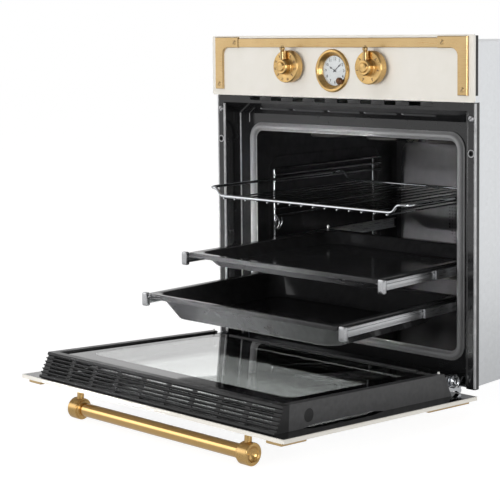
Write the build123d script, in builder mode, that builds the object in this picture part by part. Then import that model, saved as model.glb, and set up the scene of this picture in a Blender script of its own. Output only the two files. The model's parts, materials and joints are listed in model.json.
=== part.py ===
from build123d import *
from math import asin, cos, degrees, radians, sin
import os

os.makedirs("parts", exist_ok=True)

# Millimetres. X runs to the right across the front, Y from the room into the cabinet, Z upward.
# Y = 0 is the cabinet's front plane, Z = 0 the floor of the niche and X = 0 the middle.

# Control fascia.
front_width = 595.0
fascia_top = 588.0
fascia_height = 110.5
fascia_front = -20.0
fascia_sheet = 1.5
fascia_corner = 3.0
fascia_return = 2.5
housing_width = 589.0
housing_top = 586.3
housing_bottom = 488.0
housing_wall = 2.0
housing_corner = 6.0
housing_window_width = 500.0
housing_window_height = 86.0
fascia_bottom = fascia_top - fascia_height
fascia_back = fascia_front + fascia_sheet

# Casing that slides into the niche.
casing_width = 558.6
casing_height = 576.0
casing_depth = 545.0
casing_sheet = 1.0
vent_centre = 340.0
vent_drop = 46.0
vent_pitch = 34.0
vent_rise = 13.0
vent_columns = 6
vent_rows = 3
vent_length = 26.0
vent_width = 4.0
motor_vents = 10
inlet_x = -190.0
inlet_height = 470.0
inlet_radius = 11.0
terminal_width = 60.0
terminal_height = 22.0
terminal_depth = 24.0
base_flange = 16.0
base_tongue = 6.0
base_tongue_width = 480.0

# Pressed front frame with its recess for the door.
frame_width = 589.0
frame_front = -11.0
frame_sheet = 1.2
frame_foot = 1.4
frame_edge_radius = 4.0
recess_depth = 30.0
recess_width_front = 554.0
recess_width_rear = 545.0
recess_top = 441.0
lip_height = 14.0
lip_gap = 0.5
lip_top = fascia_bottom - lip_gap
lip_bottom = lip_top - lip_height
lip_slot_drop = 4.9
lip_slot_count = 8
lip_slot_pitch = 52.6
lip_slot_width = 50.0
lip_slot_height = 7.2
slope_slot_count = 5
slope_slot_pitch = 82.5
slope_slot_width = 68.0
slope_slot_height = 3.2
slope_slot_depth = 10.0
foot_block_height = 16.5
fixing_spacing = 571.0
fixing_hole_height = 393.3
fixing_hole_radius = 4.5
fixing_screw_height = 450.5
fixing_screw_radius = 5.4
fixing_screw_head = 1.6
fixing_shank_radius = 2.0
fixing_shank_gap = 0.2
fixing_shank_length = 9.0
hole_gap = 0.6

# Enamelled cavity and its mouth.
mouth_width = 464.0
mouth_bottom = 48.0
mouth_top = 410.0
mouth_corner = 16.0
cavity_width = 480.0
cavity_bottom = 40.0
cavity_top = 418.0
cavity_rear = 477.0
cavity_corner = 25.0
cavity_sheet = 1.2
seal_width = 14.6
seal_depth = 9.4
seal_bead = 3.5
wool_thickness = 20.0
wool_gap = 0.4
wool_window = 14.0
wool_back = 522.0
wool_width = cavity_width + 2 * (cavity_sheet + wool_thickness)
wool_height = cavity_top - cavity_bottom + 2 * (cavity_sheet + wool_thickness)

# Convection fan behind its cover.
fan_height = 218.0
chamber_radius = 148.0
chamber_depth = 26.0
cover_width = 340.0
cover_height = 320.0
cover_depth = 6.4
cover_sheet = 1.0
cover_corner = 22.0
cover_pitch = 22.0
cover_opening = 13.0
cover_rings = 3
cover_outlet_inset = 16.0
cover_outlet_pitch = 44.0
cover_outlets = 5
fan_radius = 72.0
fan_thickness = 15.0
fan_blades = 10
fan_hub_radius = 11.0
fan_sheet = 1.2
fan_back_gap = 6.0
fan_shaft_radius = 4.0
shaft_fit = 0.06
motor_radius = 34.0
motor_length = 35.0

# Heating elements.
element_radius = 3.3
element_lead_x = 22.0
element_lead_end = 532.0
element_flange = 1.5
ring_radius = 98.0
ring_set_back = 10.0
grill_height = 398.0
grill_half_width = 170.0
grill_legs = 6
grill_front = 110.0
grill_rear = 435.0
grill_short = 40.0
grill_bend = 18.0
lower_pocket = 8.0
lower_element_width = 340.0
lower_element_length = 300.0
lower_element_centre = 255.0

# Lamp in the back wall.
lamp_x = -196.0
lamp_height = 372.0
lamp_radius = 16.0
lamp_flange = 22.0
lamp_lens_depth = 12.0
lamp_lens_wall = 2.0
lamp_body_depth = 34.0

# Cooling blower over the cavity, with its duct toward the front.
blower_centre = 400.0
blower_foot = 452.0
blower_height = 42.0
blower_radius = 72.0
blower_sheet = 1.2
blower_duct_width = 110.0
blower_duct_length = 96.0
blower_bracket_depth = 60.0
blower_inlet = 46.0
blower_motor_radius = 28.0
blower_motor_height = 30.0
impeller_radius = 58.0
impeller_height = 30.0
impeller_blades = 16
impeller_blade = 13.0
impeller_shaft_radius = 3.0

# Door, given along from its hinge edge and up from the back of its outer sheet.
door_tilt = 3.83
door_edge_y = -6.83
door_edge_z = -9.22
door_height = 481.4
door_sheet = 6.0
door_pane = 4.0
door_rim = 2.5
door_corner = 3.0
pane_gap = 0.2
window_width = 456.0
window_near = 85.0
window_far = 391.0
window_corner = 24.0
hinge_along = 4.29
hinge_up = 5.24
frame_half = 267.0
side_wall = 1.6
side_flange = 12.0
side_near_top = 55.0
side_near_foot = 32.0
side_far = 436.5
side_step_near = 212.0
side_step_far = 406.0
side_step_run = 30.0
side_step = 3.4
ledge_inset = 8.0
middle_ledge_top = 16.0
base_lip = 58.8
base_hook = 4.4
base_wall = 3.0
base_top = 38.0
plug_seat = 1.2
plug_gap = 0.15
door_inner_height = 39.0
glass_top = 36.0
glass_thickness = 4.0
glass_side_gap = 0.6
middle_glass_thickness = 3.2
grille_top_far = 450.0
grille_foot_far = 468.0
grille_wall = 2.2
grille_ribs = 6
grille_rib_depth = 3.4
grille_slot_columns = 9
grille_slot_width = 48.0
grille_slot_pitch = 57.0
grille_slot_share = 0.34
plug_along = 392.8
plug_up = 18.2
plug_radius = 10.5
bumper_radius = 2.3
bumper_height = 3.0
bumper_x = 259.0
bumper_along = 60.0

# Hinge hardware.
hinge_x = 260.0
hinge_slot_gap = 3.0
hinge_slot_height = 32.0
hinge_arm = 3.4
hinge_gap = 0.4
hinge_cheek = 2.0
hinge_eye = 4.5
hinge_pin = 2.2
arm_shoulder = 2.0
arm_toe = -1.0
arm_top = 16.0
arm_foot = 3.0
arm_back = 92.0
receiver_height = 17.4
receiver_width = 12.0
receiver_length = 70.0
cheek_rise = 14.0
cheek_step = 12.0
cheek_shoulder = 17.0
cheek_top = 33.0
cheek_neck = 44.0
cheek_low = 30.0
cheek_foot = 6.0
cheek_far = 62.5
cheek_block = 8.0

# Handle.
handle_along = 440.0
handle_drop = 45.2
handle_spacing = 382.6
handle_bar_radius = 11.0
handle_drum_radius = 17.5
handle_drum_length = 24.0
handle_post_radius = 5.75
handle_collar_radius = 15.0
handle_collar = 4.0
handle_bevel = 1.2
handle_rim = 4.5
handle_dish = 4.2

# Gilt trim.
trim_thickness = 3.0
trim_bar_height = 16.5
trim_bar_drop = 4.7
bracket_thickness = 4.6
bracket_inset = 11.0
bracket_leg = 96.8
bracket_arm = 59.5
bracket_band = 19.4
bracket_fillet = 13.0
bracket_chamfer = 0.9
bracket_drop = 2.5
trim_gap = 0.15
trim_screw_radius = 4.2
trim_screw_head = 1.5
trim_shank_radius = 1.8
trim_screw_from_end = 9.4
door_bracket_thickness = 3.6
door_bracket_near = 112.0
door_bracket_far = 54.0
door_bracket_arm = 30.0
door_bracket_band = 9.0
door_bracket_inset = 8.5

# Knobs.
knob_spacing = 189.0
knob_drop = 55.3
knob_gap = 4.0
dial_radius = 29.0
dial_thickness = 17.0
dial_bevel = 1.5
hub_radius = 13.5
hub_length = 12.0
cap_radius = 7.75
cap_length = 2.0
shaft_radius = 3.0
lever_radius = 4.0
lever_reach = 37.8
lever_from_dial = 7.0
lever_seat_radius = 2.5
lever_seat_depth = 5.0
lever_step = 0.8
lever_waist = 1.0
lever_neck = 29.5
shaft_end = -6.0
switch_radius = 21.0
switch_depth = 16.0
switch_flange = 48.0
switch_flange_thickness = 2.0
thermostat_width = 40.0

# Clock.
clock_drop = 62.2
bezel_radius = 38.0
bezel_stand = 5.0
bezel_edge = 2.0
bezel_lip_radius = 31.5
bezel_throat_radius = 26.5
bezel_body_radius = 33.0
clock_dial_depth = 5.6
clock_dial_thickness = 1.0
clock_glass_radius = 27.1
clock_glass_thickness = 1.0
clock_glass_back = 2.0
clock_module_depth = 18.0
clock_module_radius = 30.0
clock_arbor_radius = 1.2
hand_thickness = 0.3
hour_hand_length = 15.0
minute_hand_length = 21.0
clock_knob_radius = 6.25
clock_knob_length = 7.5
clock_stem_radius = 2.4
clock_knob_offset = 28.0
clock_knob_angle = -38.5
clock_knob_gap = 0.5
clock_stem_seat = 5.0
clock_arbor_length = 8.0
hand_tail = 4.0
hand_hub_radius = 2.2
hour_hand_turn = 300.0
minute_hand_turn = 50.0

# Side racks.
rack_front = 81.0
rack_rear = 388.0
rack_overhang = 20.0
upright_radius = 3.0
upright_x = 234.6
wire_radius = 2.5
wire_x = 229.9
wire_split = 12.5
rack_top = 331.5
rack_foot = 96.0
level_heights = (312.8, 247.3, 188.4, 128.3)

# Telescopic rails, each level on both sides.
rail_web_x = 230.6
rail_web = 1.4
rail_height = 20.0
rail_gap = 0.5
mid_width = 4.0
mid_height = 15.0
slide_width = 5.2
slide_height = 15.0
slide_lip = 10.0
slide_lip_thickness = 1.4
rail_cap_width = 13.0
rail_cap_height = 24.0
rail_cap_depth = 9.0
upper_reach = 173.6
upper_slide_length = 374.0
upper_travel = 225.0
lower_reach = 271.6
lower_slide_length = 320.0
lower_travel = 405.0
guide_rear = 455.0
upper_guide_front = 74.0
lower_guide_front = 146.0
guide_lip = 4.3
clip_length = 12.0
upper_mid_gap = 40.0
upper_mid_length = 330.0
lower_mid_gap = 5.0
lower_mid_length = 307.0

# Trays.
tray_sheet = 1.3
tray_half_width = 216.4
tray_top_above_rail = 11.8
tray_skirt = 8.0
tray_rim_corner = 9.0
tray_corner = 16.0
tray_floor_corner = 26.0
upper_tray_front = -174.0
upper_tray_length = 400.0
upper_tray_depth = 24.0
upper_tray_border = 17.0
upper_tray_flare = 14.0
lower_tray_front = -275.0
lower_tray_length = 337.0
lower_tray_depth = 44.0
lower_tray_border = 13.6
lower_tray_flare = 20.0

# Wire shelf.
shelf_rod_radius = 2.8
shelf_wire_radius = 1.5
shelf_half_width = 225.6
shelf_front = -105.0
shelf_length = 363.0
shelf_side_height = 312.0
shelf_front_height = 298.0
shelf_front_half = 193.0
shelf_corner_run = 14.0
shelf_wire_count = 15
shelf_wire_pitch = 26.6

tilt = radians(door_tilt)
along = (0, -cos(tilt), sin(tilt))
rise = (0, sin(tilt), cos(tilt))
door_edge = (0, door_edge_y, door_edge_z)
door_face = Plane(origin=door_edge, x_dir=(-1, 0, 0), z_dir=rise)
door_side = Plane(origin=door_edge, x_dir=along, z_dir=(-1, 0, 0))
casing_half = casing_width / 2
casing_inner_half = casing_half - casing_sheet
cavity_mid_height = (cavity_bottom + cavity_top) / 2
mouth_mid_height = (mouth_bottom + mouth_top) / 2
mouth_height = mouth_top - mouth_bottom
plate_back = recess_depth + frame_sheet
chamber_back = cavity_rear + cavity_sheet + chamber_depth
ring_lead_height = fan_height + (ring_radius ** 2 - element_lead_x ** 2) ** 0.5
knob_height = fascia_top - knob_drop
clock_height = fascia_top - clock_drop
fascia_mid = (fascia_top + fascia_bottom) / 2


def front_plane(y):
    """Plane facing the room at depth y, with X to the right and Z up."""
    return Plane.XZ.offset(-y)


def save(piece, name):
    """Label one finished piece and write its STEP file."""
    piece.part.label = name
    export_step(piece.part, "parts/" + name + ".step")


# Casing: one sheet folded over the top and down both sides, vented high on each side.
with BuildPart() as casing:
    with BuildSketch(front_plane(0)):
        with Locations((0, casing_height / 2)):
            Rectangle(casing_width, casing_height)
        with Locations((0, casing_height / 2 - casing_sheet)):
            Rectangle(casing_width - 2 * casing_sheet, casing_height, mode=Mode.SUBTRACT)
    extrude(amount=-(casing_depth - casing_sheet))
    with BuildSketch(Plane.YZ):
        with Locations((vent_centre, casing_height - vent_drop)):
            with GridLocations(vent_pitch, vent_rise, vent_columns, vent_rows):
                Rectangle(vent_length, vent_width)
    extrude(amount=casing_width, both=True, mode=Mode.SUBTRACT)
save(casing, "casing")

# Base: a shallow tray between the casing's sides, with a tongue under the door opening.
with BuildPart() as base_plate:
    with BuildSketch(Plane.XY):
        with Locations((0, casing_depth / 2)):
            Rectangle(2 * casing_inner_half, casing_depth - 2 * casing_sheet)
        with Locations((0, 0)):
            Rectangle(base_tongue_width, 2 * base_tongue)
    extrude(amount=casing_sheet)
    with BuildSketch(Plane.XY.offset(casing_sheet)):
        with Locations((0, (plate_back + casing_depth) / 2)):
            Rectangle(2 * casing_inner_half, casing_depth - plate_back - 2 * casing_sheet)
        with Locations((0, (plate_back + casing_depth) / 2 - casing_sheet)):
            Rectangle(2 * casing_inner_half - 2 * casing_sheet,
                      casing_depth - plate_back - 2 * casing_sheet, mode=Mode.SUBTRACT)
    extrude(amount=base_flange)
save(base_plate, "base_plate")

# Rear cover: flat panel over the casing's back with rows of vents, a ring of vents round the
# fan motor and the hole where the supply lead enters.
with BuildPart() as rear_cover:
    with BuildSketch(front_plane(casing_depth - casing_sheet)):
        with Locations((0, casing_height / 2)):
            Rectangle(casing_width, casing_height)
        with Locations((0, casing_height - vent_drop)):
            with GridLocations(vent_pitch, vent_rise, vent_columns, vent_rows):
                Rectangle(vent_length, vent_width, mode=Mode.SUBTRACT)
        with Locations((0, fan_height)):
            with PolarLocations(motor_radius + vent_length, motor_vents):
                Rectangle(vent_length, vent_width, mode=Mode.SUBTRACT)
        with Locations((inlet_x, inlet_height)):
            Circle(inlet_radius, mode=Mode.SUBTRACT)
    extrude(amount=-casing_sheet)
save(rear_cover, "rear_cover")

# Terminal block inside the rear cover, in line with the supply hole.
with BuildPart() as terminal_block:
    with BuildSketch(front_plane(casing_depth - casing_sheet)):
        with Locations((inlet_x, inlet_height + inlet_radius + terminal_height / 2 + 4)):
            Rectangle(terminal_width, terminal_height)
    extrude(amount=terminal_depth)
    with BuildSketch(front_plane(casing_depth - casing_sheet - terminal_depth)):
        with Locations((inlet_x, inlet_height + inlet_radius + terminal_height / 2 + 4)):
            with GridLocations(terminal_width / 5, 1, 5, 1):
                Rectangle(terminal_width / 8, terminal_height * 0.6)
    extrude(amount=-terminal_depth / 2, mode=Mode.SUBTRACT)
save(terminal_block, "terminal_block")

# Front frame: enamelled pressing with a vented header lip, a sloped ceiling, two rounded side
# columns that lap over the cabinet's edges, and the recessed plate that carries the mouth.
rear_half = recess_width_rear / 2
front_half = recess_width_front / 2
outer_half = frame_width / 2
with BuildPart() as front_frame:
    with BuildSketch(front_plane(recess_depth)):
        with Locations((0, (frame_foot + recess_top + frame_sheet) / 2)):
            Rectangle(recess_width_rear + 2 * frame_sheet, recess_top + frame_sheet - frame_foot)
        with Locations((0, mouth_mid_height)):
            RectangleRounded(mouth_width, mouth_height, mouth_corner, mode=Mode.SUBTRACT)
        with Locations((-hinge_x, hinge_slot_height / 2), (hinge_x, hinge_slot_height / 2)):
            Rectangle(hinge_arm + 2 * hinge_slot_gap, hinge_slot_height, mode=Mode.SUBTRACT)
    extrude(amount=-frame_sheet)
    with BuildSketch(Plane.XY.offset(frame_foot)) as column:
        with BuildLine():
            Polyline((rear_half, plate_back), (front_half, frame_front),
                     (outer_half, frame_front), (outer_half, 0), (outer_half - frame_sheet, 0),
                     (outer_half - frame_sheet, frame_front + frame_sheet),
                     (front_half + frame_sheet, frame_front + frame_sheet),
                     (rear_half + frame_sheet, plate_back), close=True)
        make_face()
        outer_corner = column.vertices().sort_by_distance((outer_half, frame_front, 0))[0]
        fillet(outer_corner, frame_edge_radius)
    extrude(amount=fascia_bottom - lip_gap - frame_foot)
    with BuildSketch(Plane.XY.offset(frame_foot)):
        with Locations(((front_half + outer_half) / 2, (frame_front + frame_sheet) / 2)):
            Rectangle(outer_half - front_half - 2 * frame_sheet, -frame_front - frame_sheet)
    extrude(amount=foot_block_height)
    mirror(about=Plane.YZ)
    with BuildSketch(Plane.YZ):
        with BuildLine():
            Polyline((0, lip_top), (frame_front, lip_top), (frame_front, lip_bottom),
                     (recess_depth, recess_top), (plate_back, recess_top),
                     (plate_back, recess_top + frame_sheet),
                     (frame_front + frame_sheet, lip_bottom + frame_sheet),
                     (frame_front + frame_sheet, lip_top - frame_sheet),
                     (0, lip_top - frame_sheet), close=True)
        make_face()
    extrude(amount=rear_half, both=True)
    with BuildSketch(Plane.YZ):
        with BuildLine():
            Polyline((0, lip_top), (frame_front, lip_top), (frame_front, lip_bottom),
                     (frame_front + frame_sheet, lip_bottom + frame_sheet),
                     (frame_front + frame_sheet, lip_top - frame_sheet),
                     (0, lip_top - frame_sheet), close=True)
        make_face()
    extrude(amount=front_half + frame_sheet, both=True)
    with BuildSketch(front_plane(frame_front - 1)):
        with Locations((0, lip_top - lip_slot_drop)):
            with GridLocations(lip_slot_pitch, 1, lip_slot_count, 1):
                Rectangle(lip_slot_width, lip_slot_height)
    extrude(amount=-(2 + frame_sheet), mode=Mode.SUBTRACT)
    with BuildSketch(Plane.XY.offset(recess_top)):
        with Locations((0, slope_slot_depth)):
            with GridLocations(slope_slot_pitch, 1, slope_slot_count, 1):
                Rectangle(slope_slot_width, slope_slot_height)
    extrude(amount=lip_bottom - recess_top, mode=Mode.SUBTRACT)
    with BuildSketch(front_plane(frame_front)):
        with Locations((-fixing_spacing / 2, fixing_hole_height),
                       (fixing_spacing / 2, fixing_hole_height)):
            Circle(fixing_hole_radius)
        with Locations((-fixing_spacing / 2, fixing_screw_height),
                       (fixing_spacing / 2, fixing_screw_height)):
            RegularPolygon(fixing_shank_radius + fixing_shank_gap, 8)
    extrude(amount=-(2 + frame_sheet), mode=Mode.SUBTRACT)
save(front_frame, "front_frame")

# Screws through the columns into the cabinet.
with BuildPart() as frame_screws:
    with BuildSketch(front_plane(frame_front)):
        with Locations((-fixing_spacing / 2, fixing_screw_height),
                       (fixing_spacing / 2, fixing_screw_height)):
            RegularPolygon(fixing_screw_radius, 12)
    extrude(amount=fixing_screw_head)
    with BuildSketch(front_plane(frame_front)):
        with Locations((-fixing_spacing / 2, fixing_screw_height),
                       (fixing_spacing / 2, fixing_screw_height)):
            RegularPolygon(fixing_shank_radius, 8)
    extrude(amount=-fixing_shank_length)
save(frame_screws, "frame_screws")

# Cavity: deep-drawn box with rounded long edges, open at the front, and the round fan chamber
# that is drawn out of its back wall.
with BuildPart() as cavity:
    with BuildSketch(front_plane(plate_back)):
        with Locations((0, cavity_mid_height)):
            RectangleRounded(cavity_width + 2 * cavity_sheet,
                             cavity_top - cavity_bottom + 2 * cavity_sheet,
                             cavity_corner + cavity_sheet)
    extrude(amount=-(cavity_rear + cavity_sheet - plate_back))
    with BuildSketch(front_plane(cavity_rear)):
        with Locations((0, fan_height)):
            Circle(chamber_radius + cavity_sheet)
    extrude(amount=-(chamber_back - cavity_rear))
    with BuildSketch(front_plane(plate_back)):
        with Locations((0, cavity_mid_height)):
            RectangleRounded(cavity_width, cavity_top - cavity_bottom, cavity_corner)
    extrude(amount=-(cavity_rear - plate_back), mode=Mode.SUBTRACT)
    with BuildSketch(front_plane(cavity_rear)):
        with Locations((0, fan_height)):
            Circle(chamber_radius)
    extrude(amount=-(chamber_back - cavity_sheet - cavity_rear), mode=Mode.SUBTRACT)
    with BuildSketch(front_plane(chamber_back - 2 * cavity_sheet)):
        with Locations((0, fan_height)):
            RegularPolygon(fan_shaft_radius + hole_gap, 8, major_radius=False)
        with Locations((-element_lead_x, ring_lead_height),
                       (element_lead_x, ring_lead_height)):
            RegularPolygon(element_radius + hole_gap, 8, major_radius=False)
    extrude(amount=-4 * cavity_sheet, mode=Mode.SUBTRACT)
    with BuildSketch(front_plane(cavity_rear - cavity_sheet)):
        with Locations((-element_lead_x, grill_height), (element_lead_x, grill_height)):
            RegularPolygon(element_radius + hole_gap, 8, major_radius=False)
        with Locations((lamp_x, lamp_height)):
            Circle(lamp_radius + hole_gap)
    extrude(amount=-4 * cavity_sheet, mode=Mode.SUBTRACT)
save(cavity, "cavity")

# Mineral wool wrapped round the cavity, open for the fan motor and the leads at the back.
with BuildPart() as insulation:
    with BuildSketch(front_plane(plate_back + wool_gap)):
        with Locations((0, cavity_mid_height)):
            RectangleRounded(wool_width, wool_height, cavity_corner + wool_thickness)
    extrude(amount=-(wool_back - plate_back - wool_gap))
    with BuildSketch(front_plane(plate_back)):
        with Locations((0, cavity_mid_height)):
            RectangleRounded(cavity_width + 2 * (cavity_sheet + wool_gap),
                             cavity_top - cavity_bottom + 2 * (cavity_sheet + wool_gap),
                             cavity_corner + cavity_sheet + wool_gap)
    extrude(amount=-(cavity_rear + cavity_sheet + wool_gap - plate_back), mode=Mode.SUBTRACT)
    with BuildSketch(front_plane(cavity_rear)):
        with Locations((0, fan_height)):
            Circle(chamber_radius + cavity_sheet + wool_gap)
    extrude(amount=-(chamber_back + wool_gap - cavity_rear), mode=Mode.SUBTRACT)
    with BuildSketch(front_plane(chamber_back)):
        with Locations((0, fan_height)):
            Rectangle(2 * motor_radius + wool_window, 2 * motor_radius + wool_window)
        with Locations((0, ring_lead_height)):
            Rectangle(2 * element_lead_x + wool_window, wool_window)
    extrude(amount=-2 * wool_thickness, mode=Mode.SUBTRACT)
    with BuildSketch(front_plane(cavity_rear)):
        with Locations((0, grill_height)):
            Rectangle(2 * element_lead_x + wool_window, wool_window)
        with Locations((lamp_x, lamp_height)):
            Rectangle(2 * lamp_flange, 2 * lamp_flange)
    extrude(amount=-3 * wool_thickness, mode=Mode.SUBTRACT)
    with BuildSketch(Plane.XY.offset(cavity_bottom - cavity_sheet - lower_pocket)):
        with Locations((0, lower_element_centre)):
            Rectangle(lower_element_width + wool_window, lower_element_length + wool_window)
        with Locations((0, (lower_element_centre + wool_back) / 2)):
            Rectangle(2 * element_lead_x + wool_window, wool_back - lower_element_centre + 2)
    extrude(amount=lower_pocket, mode=Mode.SUBTRACT)
save(insulation, "insulation")

# Door seal: woven tube in a closed loop round the mouth.
with BuildPart() as door_seal:
    with BuildSketch(front_plane(recess_depth)):
        with Locations((0, mouth_mid_height)):
            RectangleRounded(mouth_width + 2 * seal_width, mouth_height + 2 * seal_width,
                             mouth_corner + seal_width)
            RectangleRounded(mouth_width, mouth_height, mouth_corner, mode=Mode.SUBTRACT)
    extrude(amount=seal_depth)
    chamfer(door_seal.faces().sort_by(Axis.Y)[0].edges(), seal_bead)
save(door_seal, "door_seal")

# Control fascia: folded sheet with holes for the clock and the two spindles.
with BuildPart() as fascia:
    with BuildSketch(front_plane(fascia_front)):
        with Locations((0, fascia_mid)):
            RectangleRounded(front_width, fascia_height, fascia_corner)
    extrude(amount=-(fascia_sheet + fascia_return))
    with BuildSketch(front_plane(fascia_back)):
        with Locations((0, fascia_mid)):
            RectangleRounded(front_width - 2 * fascia_sheet, fascia_height - 2 * fascia_sheet,
                             fascia_corner - fascia_sheet / 2)
    extrude(amount=-fascia_return, mode=Mode.SUBTRACT)
    with BuildSketch(front_plane(fascia_front)):
        with Locations((0, clock_height)):
            Circle(bezel_body_radius + hole_gap)
        with Locations((-knob_spacing / 2, knob_height), (knob_spacing / 2, knob_height)):
            Circle(shaft_radius + hole_gap)
    extrude(amount=-fascia_sheet, mode=Mode.SUBTRACT)
save(fascia, "fascia")

# Black housing behind the fascia: a tray whose floor laps over the casing's front edge, with a
# window to the control space.
with BuildPart() as fascia_housing:
    with BuildSketch(front_plane(fascia_back)):
        with Locations((0, (housing_top + housing_bottom) / 2)):
            Rectangle(housing_width, housing_top - housing_bottom)
    extrude(amount=fascia_back)
    fillet(fascia_housing.faces().sort_by(Axis.Y)[-1].edges().filter_by(Axis.Z), housing_corner)
    offset(amount=-housing_wall, openings=fascia_housing.faces().sort_by(Axis.Y)[0])
    with BuildSketch(front_plane(0)):
        with Locations((0, (housing_top + housing_bottom) / 2)):
            Rectangle(housing_window_width, housing_window_height)
    extrude(amount=2 * housing_wall, both=True, mode=Mode.SUBTRACT)
save(fascia_housing, "fascia_housing")

# Flat bar along the fascia's top edge, between the arms of the corner brackets.
bracket_edge = front_width / 2 - bracket_inset
bar_length = 2 * (bracket_edge - bracket_arm) - 2 * trim_gap
with BuildPart() as trim_bar:
    with BuildSketch(front_plane(fascia_front)):
        with Locations((0, fascia_top - trim_bar_drop - trim_bar_height / 2)):
            Rectangle(bar_length, trim_bar_height)
    extrude(amount=trim_thickness)
    chamfer(trim_bar.faces().sort_by(Axis.Y)[0].edges().filter_by(Axis.X), bracket_chamfer)
save(trim_bar, "trim_bar")

# Corner brackets: flat angles with a rounded inner corner and a bevelled outline, drilled for a
# screw near the end of each limb.
bracket_top = fascia_top - bracket_drop
screw_points = [(bracket_edge - bracket_arm + trim_screw_from_end, bracket_top - bracket_band / 2),
                (bracket_edge - bracket_band / 2, bracket_top - bracket_leg + trim_screw_from_end)]
with BuildPart() as corner_brackets:
    with BuildSketch(front_plane(fascia_front)) as angle:
        with BuildLine():
            Polyline((bracket_edge, bracket_top), (bracket_edge - bracket_arm, bracket_top),
                     (bracket_edge - bracket_arm, bracket_top - bracket_band),
                     (bracket_edge - bracket_band, bracket_top - bracket_band),
                     (bracket_edge - bracket_band, bracket_top - bracket_leg),
                     (bracket_edge, bracket_top - bracket_leg), close=True)
        make_face()
        inner = (bracket_edge - bracket_band, bracket_top - bracket_band, 0)
        fillet(angle.vertices().sort_by_distance(inner)[0], bracket_fillet)
    extrude(amount=bracket_thickness)
    chamfer(corner_brackets.faces().sort_by(Axis.Y)[0].edges(), bracket_chamfer)
    with BuildSketch(front_plane(fascia_front)):
        with Locations(*screw_points):
            RegularPolygon(trim_shank_radius + trim_gap, 8)
    extrude(amount=bracket_thickness, mode=Mode.SUBTRACT)
    mirror(about=Plane.YZ)
save(corner_brackets, "corner_brackets")

# Domed screws that hold the brackets.
with BuildPart() as bracket_screws:
    with BuildSketch(front_plane(fascia_front - bracket_thickness)):
        with Locations(*screw_points):
            RegularPolygon(trim_screw_radius, 12)
    extrude(amount=trim_screw_head)
    with BuildSketch(front_plane(fascia_front)):
        with Locations(*screw_points):
            RegularPolygon(trim_shank_radius, 8)
    extrude(amount=bracket_thickness)
    mirror(about=Plane.YZ)
save(bracket_screws, "bracket_screws")


def knob_plane(x, height):
    """Plane through a knob's axis, with radius along X and depth along Y."""
    return Plane(origin=(x, 0, height), x_dir=(1, 0, 0), z_dir=(0, 0, 1))


# Each knob is a turned dial with a stepped hub and a spindle, and a separate pointer lever
# screwed into the hub.
dial_back = fascia_front - knob_gap
dial_front = dial_back - dial_thickness
hub_front = dial_front - hub_length
lever_y = dial_front - lever_from_dial
for side, x in (("left", -knob_spacing / 2), ("right", knob_spacing / 2)):
    axis = Axis((x, 0, knob_height), (0, 1, 0))
    with BuildPart() as knob:
        with BuildSketch(knob_plane(x, knob_height)):
            with BuildLine():
                Polyline((0, hub_front - cap_length), (cap_radius, hub_front - cap_length),
                         (cap_radius, hub_front), (hub_radius, hub_front),
                         (hub_radius, dial_front), (dial_radius - dial_bevel, dial_front),
                         (dial_radius, dial_front + dial_bevel), (dial_radius, dial_back),
                         (shaft_radius, dial_back), (shaft_radius, shaft_end), (0, shaft_end),
                         close=True)
            make_face()
        revolve(axis=axis)
        with BuildSketch(Plane.XY.offset(knob_height + hub_radius)):
            with Locations((x, lever_y)):
                RegularPolygon(lever_seat_radius, 8)
        extrude(amount=-lever_seat_depth, mode=Mode.SUBTRACT)
    save(knob, "knob_" + side)

    with BuildPart() as lever:
        with BuildSketch(Plane(origin=(x, lever_y, knob_height), x_dir=(1, 0, 0),
                               z_dir=(0, -1, 0))):
            with BuildLine():
                Polyline((0, hub_radius + lever_step), (lever_radius, hub_radius + lever_step),
                         (lever_radius, lever_neck), (lever_radius - lever_waist, lever_neck),
                         (lever_radius - lever_waist, lever_neck + lever_waist),
                         (lever_radius, lever_neck + lever_waist), (lever_radius, lever_reach),
                         (0, lever_reach), close=True)
            make_face()
        revolve(axis=Axis((x, lever_y, knob_height), (0, 0, 1)))
        with BuildSketch(Plane.XY.offset(knob_height + hub_radius - lever_seat_depth)):
            with Locations((x, lever_y)):
                RegularPolygon(lever_seat_radius - trim_gap, 8)
        extrude(amount=lever_seat_depth + lever_step)
    save(lever, "knob_" + side + "_lever")

# Function selector behind the left spindle: round rotary switch on a square flange.
with BuildPart() as selector_switch:
    with BuildSketch(front_plane(fascia_back)):
        with Locations((-knob_spacing / 2, knob_height)):
            Rectangle(switch_flange, switch_flange)
    extrude(amount=-switch_flange_thickness)
    with BuildSketch(front_plane(fascia_back + switch_flange_thickness)):
        with Locations((-knob_spacing / 2, knob_height)):
            RegularPolygon(switch_radius, 12)
    extrude(amount=-switch_depth)
    with BuildSketch(front_plane(fascia_back)):
        with Locations((-knob_spacing / 2, knob_height)):
            Circle(shaft_radius + shaft_fit)
    extrude(amount=-(shaft_end - fascia_back + 1), mode=Mode.SUBTRACT)
save(selector_switch, "selector_switch")

# Thermostat behind the right spindle: rectangular body on the same flange.
with BuildPart() as thermostat:
    with BuildSketch(front_plane(fascia_back)):
        with Locations((knob_spacing / 2, knob_height)):
            Rectangle(switch_flange, switch_flange)
    extrude(amount=-switch_flange_thickness)
    with BuildSketch(front_plane(fascia_back + switch_flange_thickness)):
        with Locations((knob_spacing / 2, knob_height)):
            Rectangle(thermostat_width, thermostat_width * 0.7)
    extrude(amount=-switch_depth)
    with BuildSketch(front_plane(fascia_back)):
        with Locations((knob_spacing / 2, knob_height)):
            Circle(shaft_radius + shaft_fit)
    extrude(amount=-(shaft_end - fascia_back + 1), mode=Mode.SUBTRACT)
save(thermostat, "thermostat")

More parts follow.
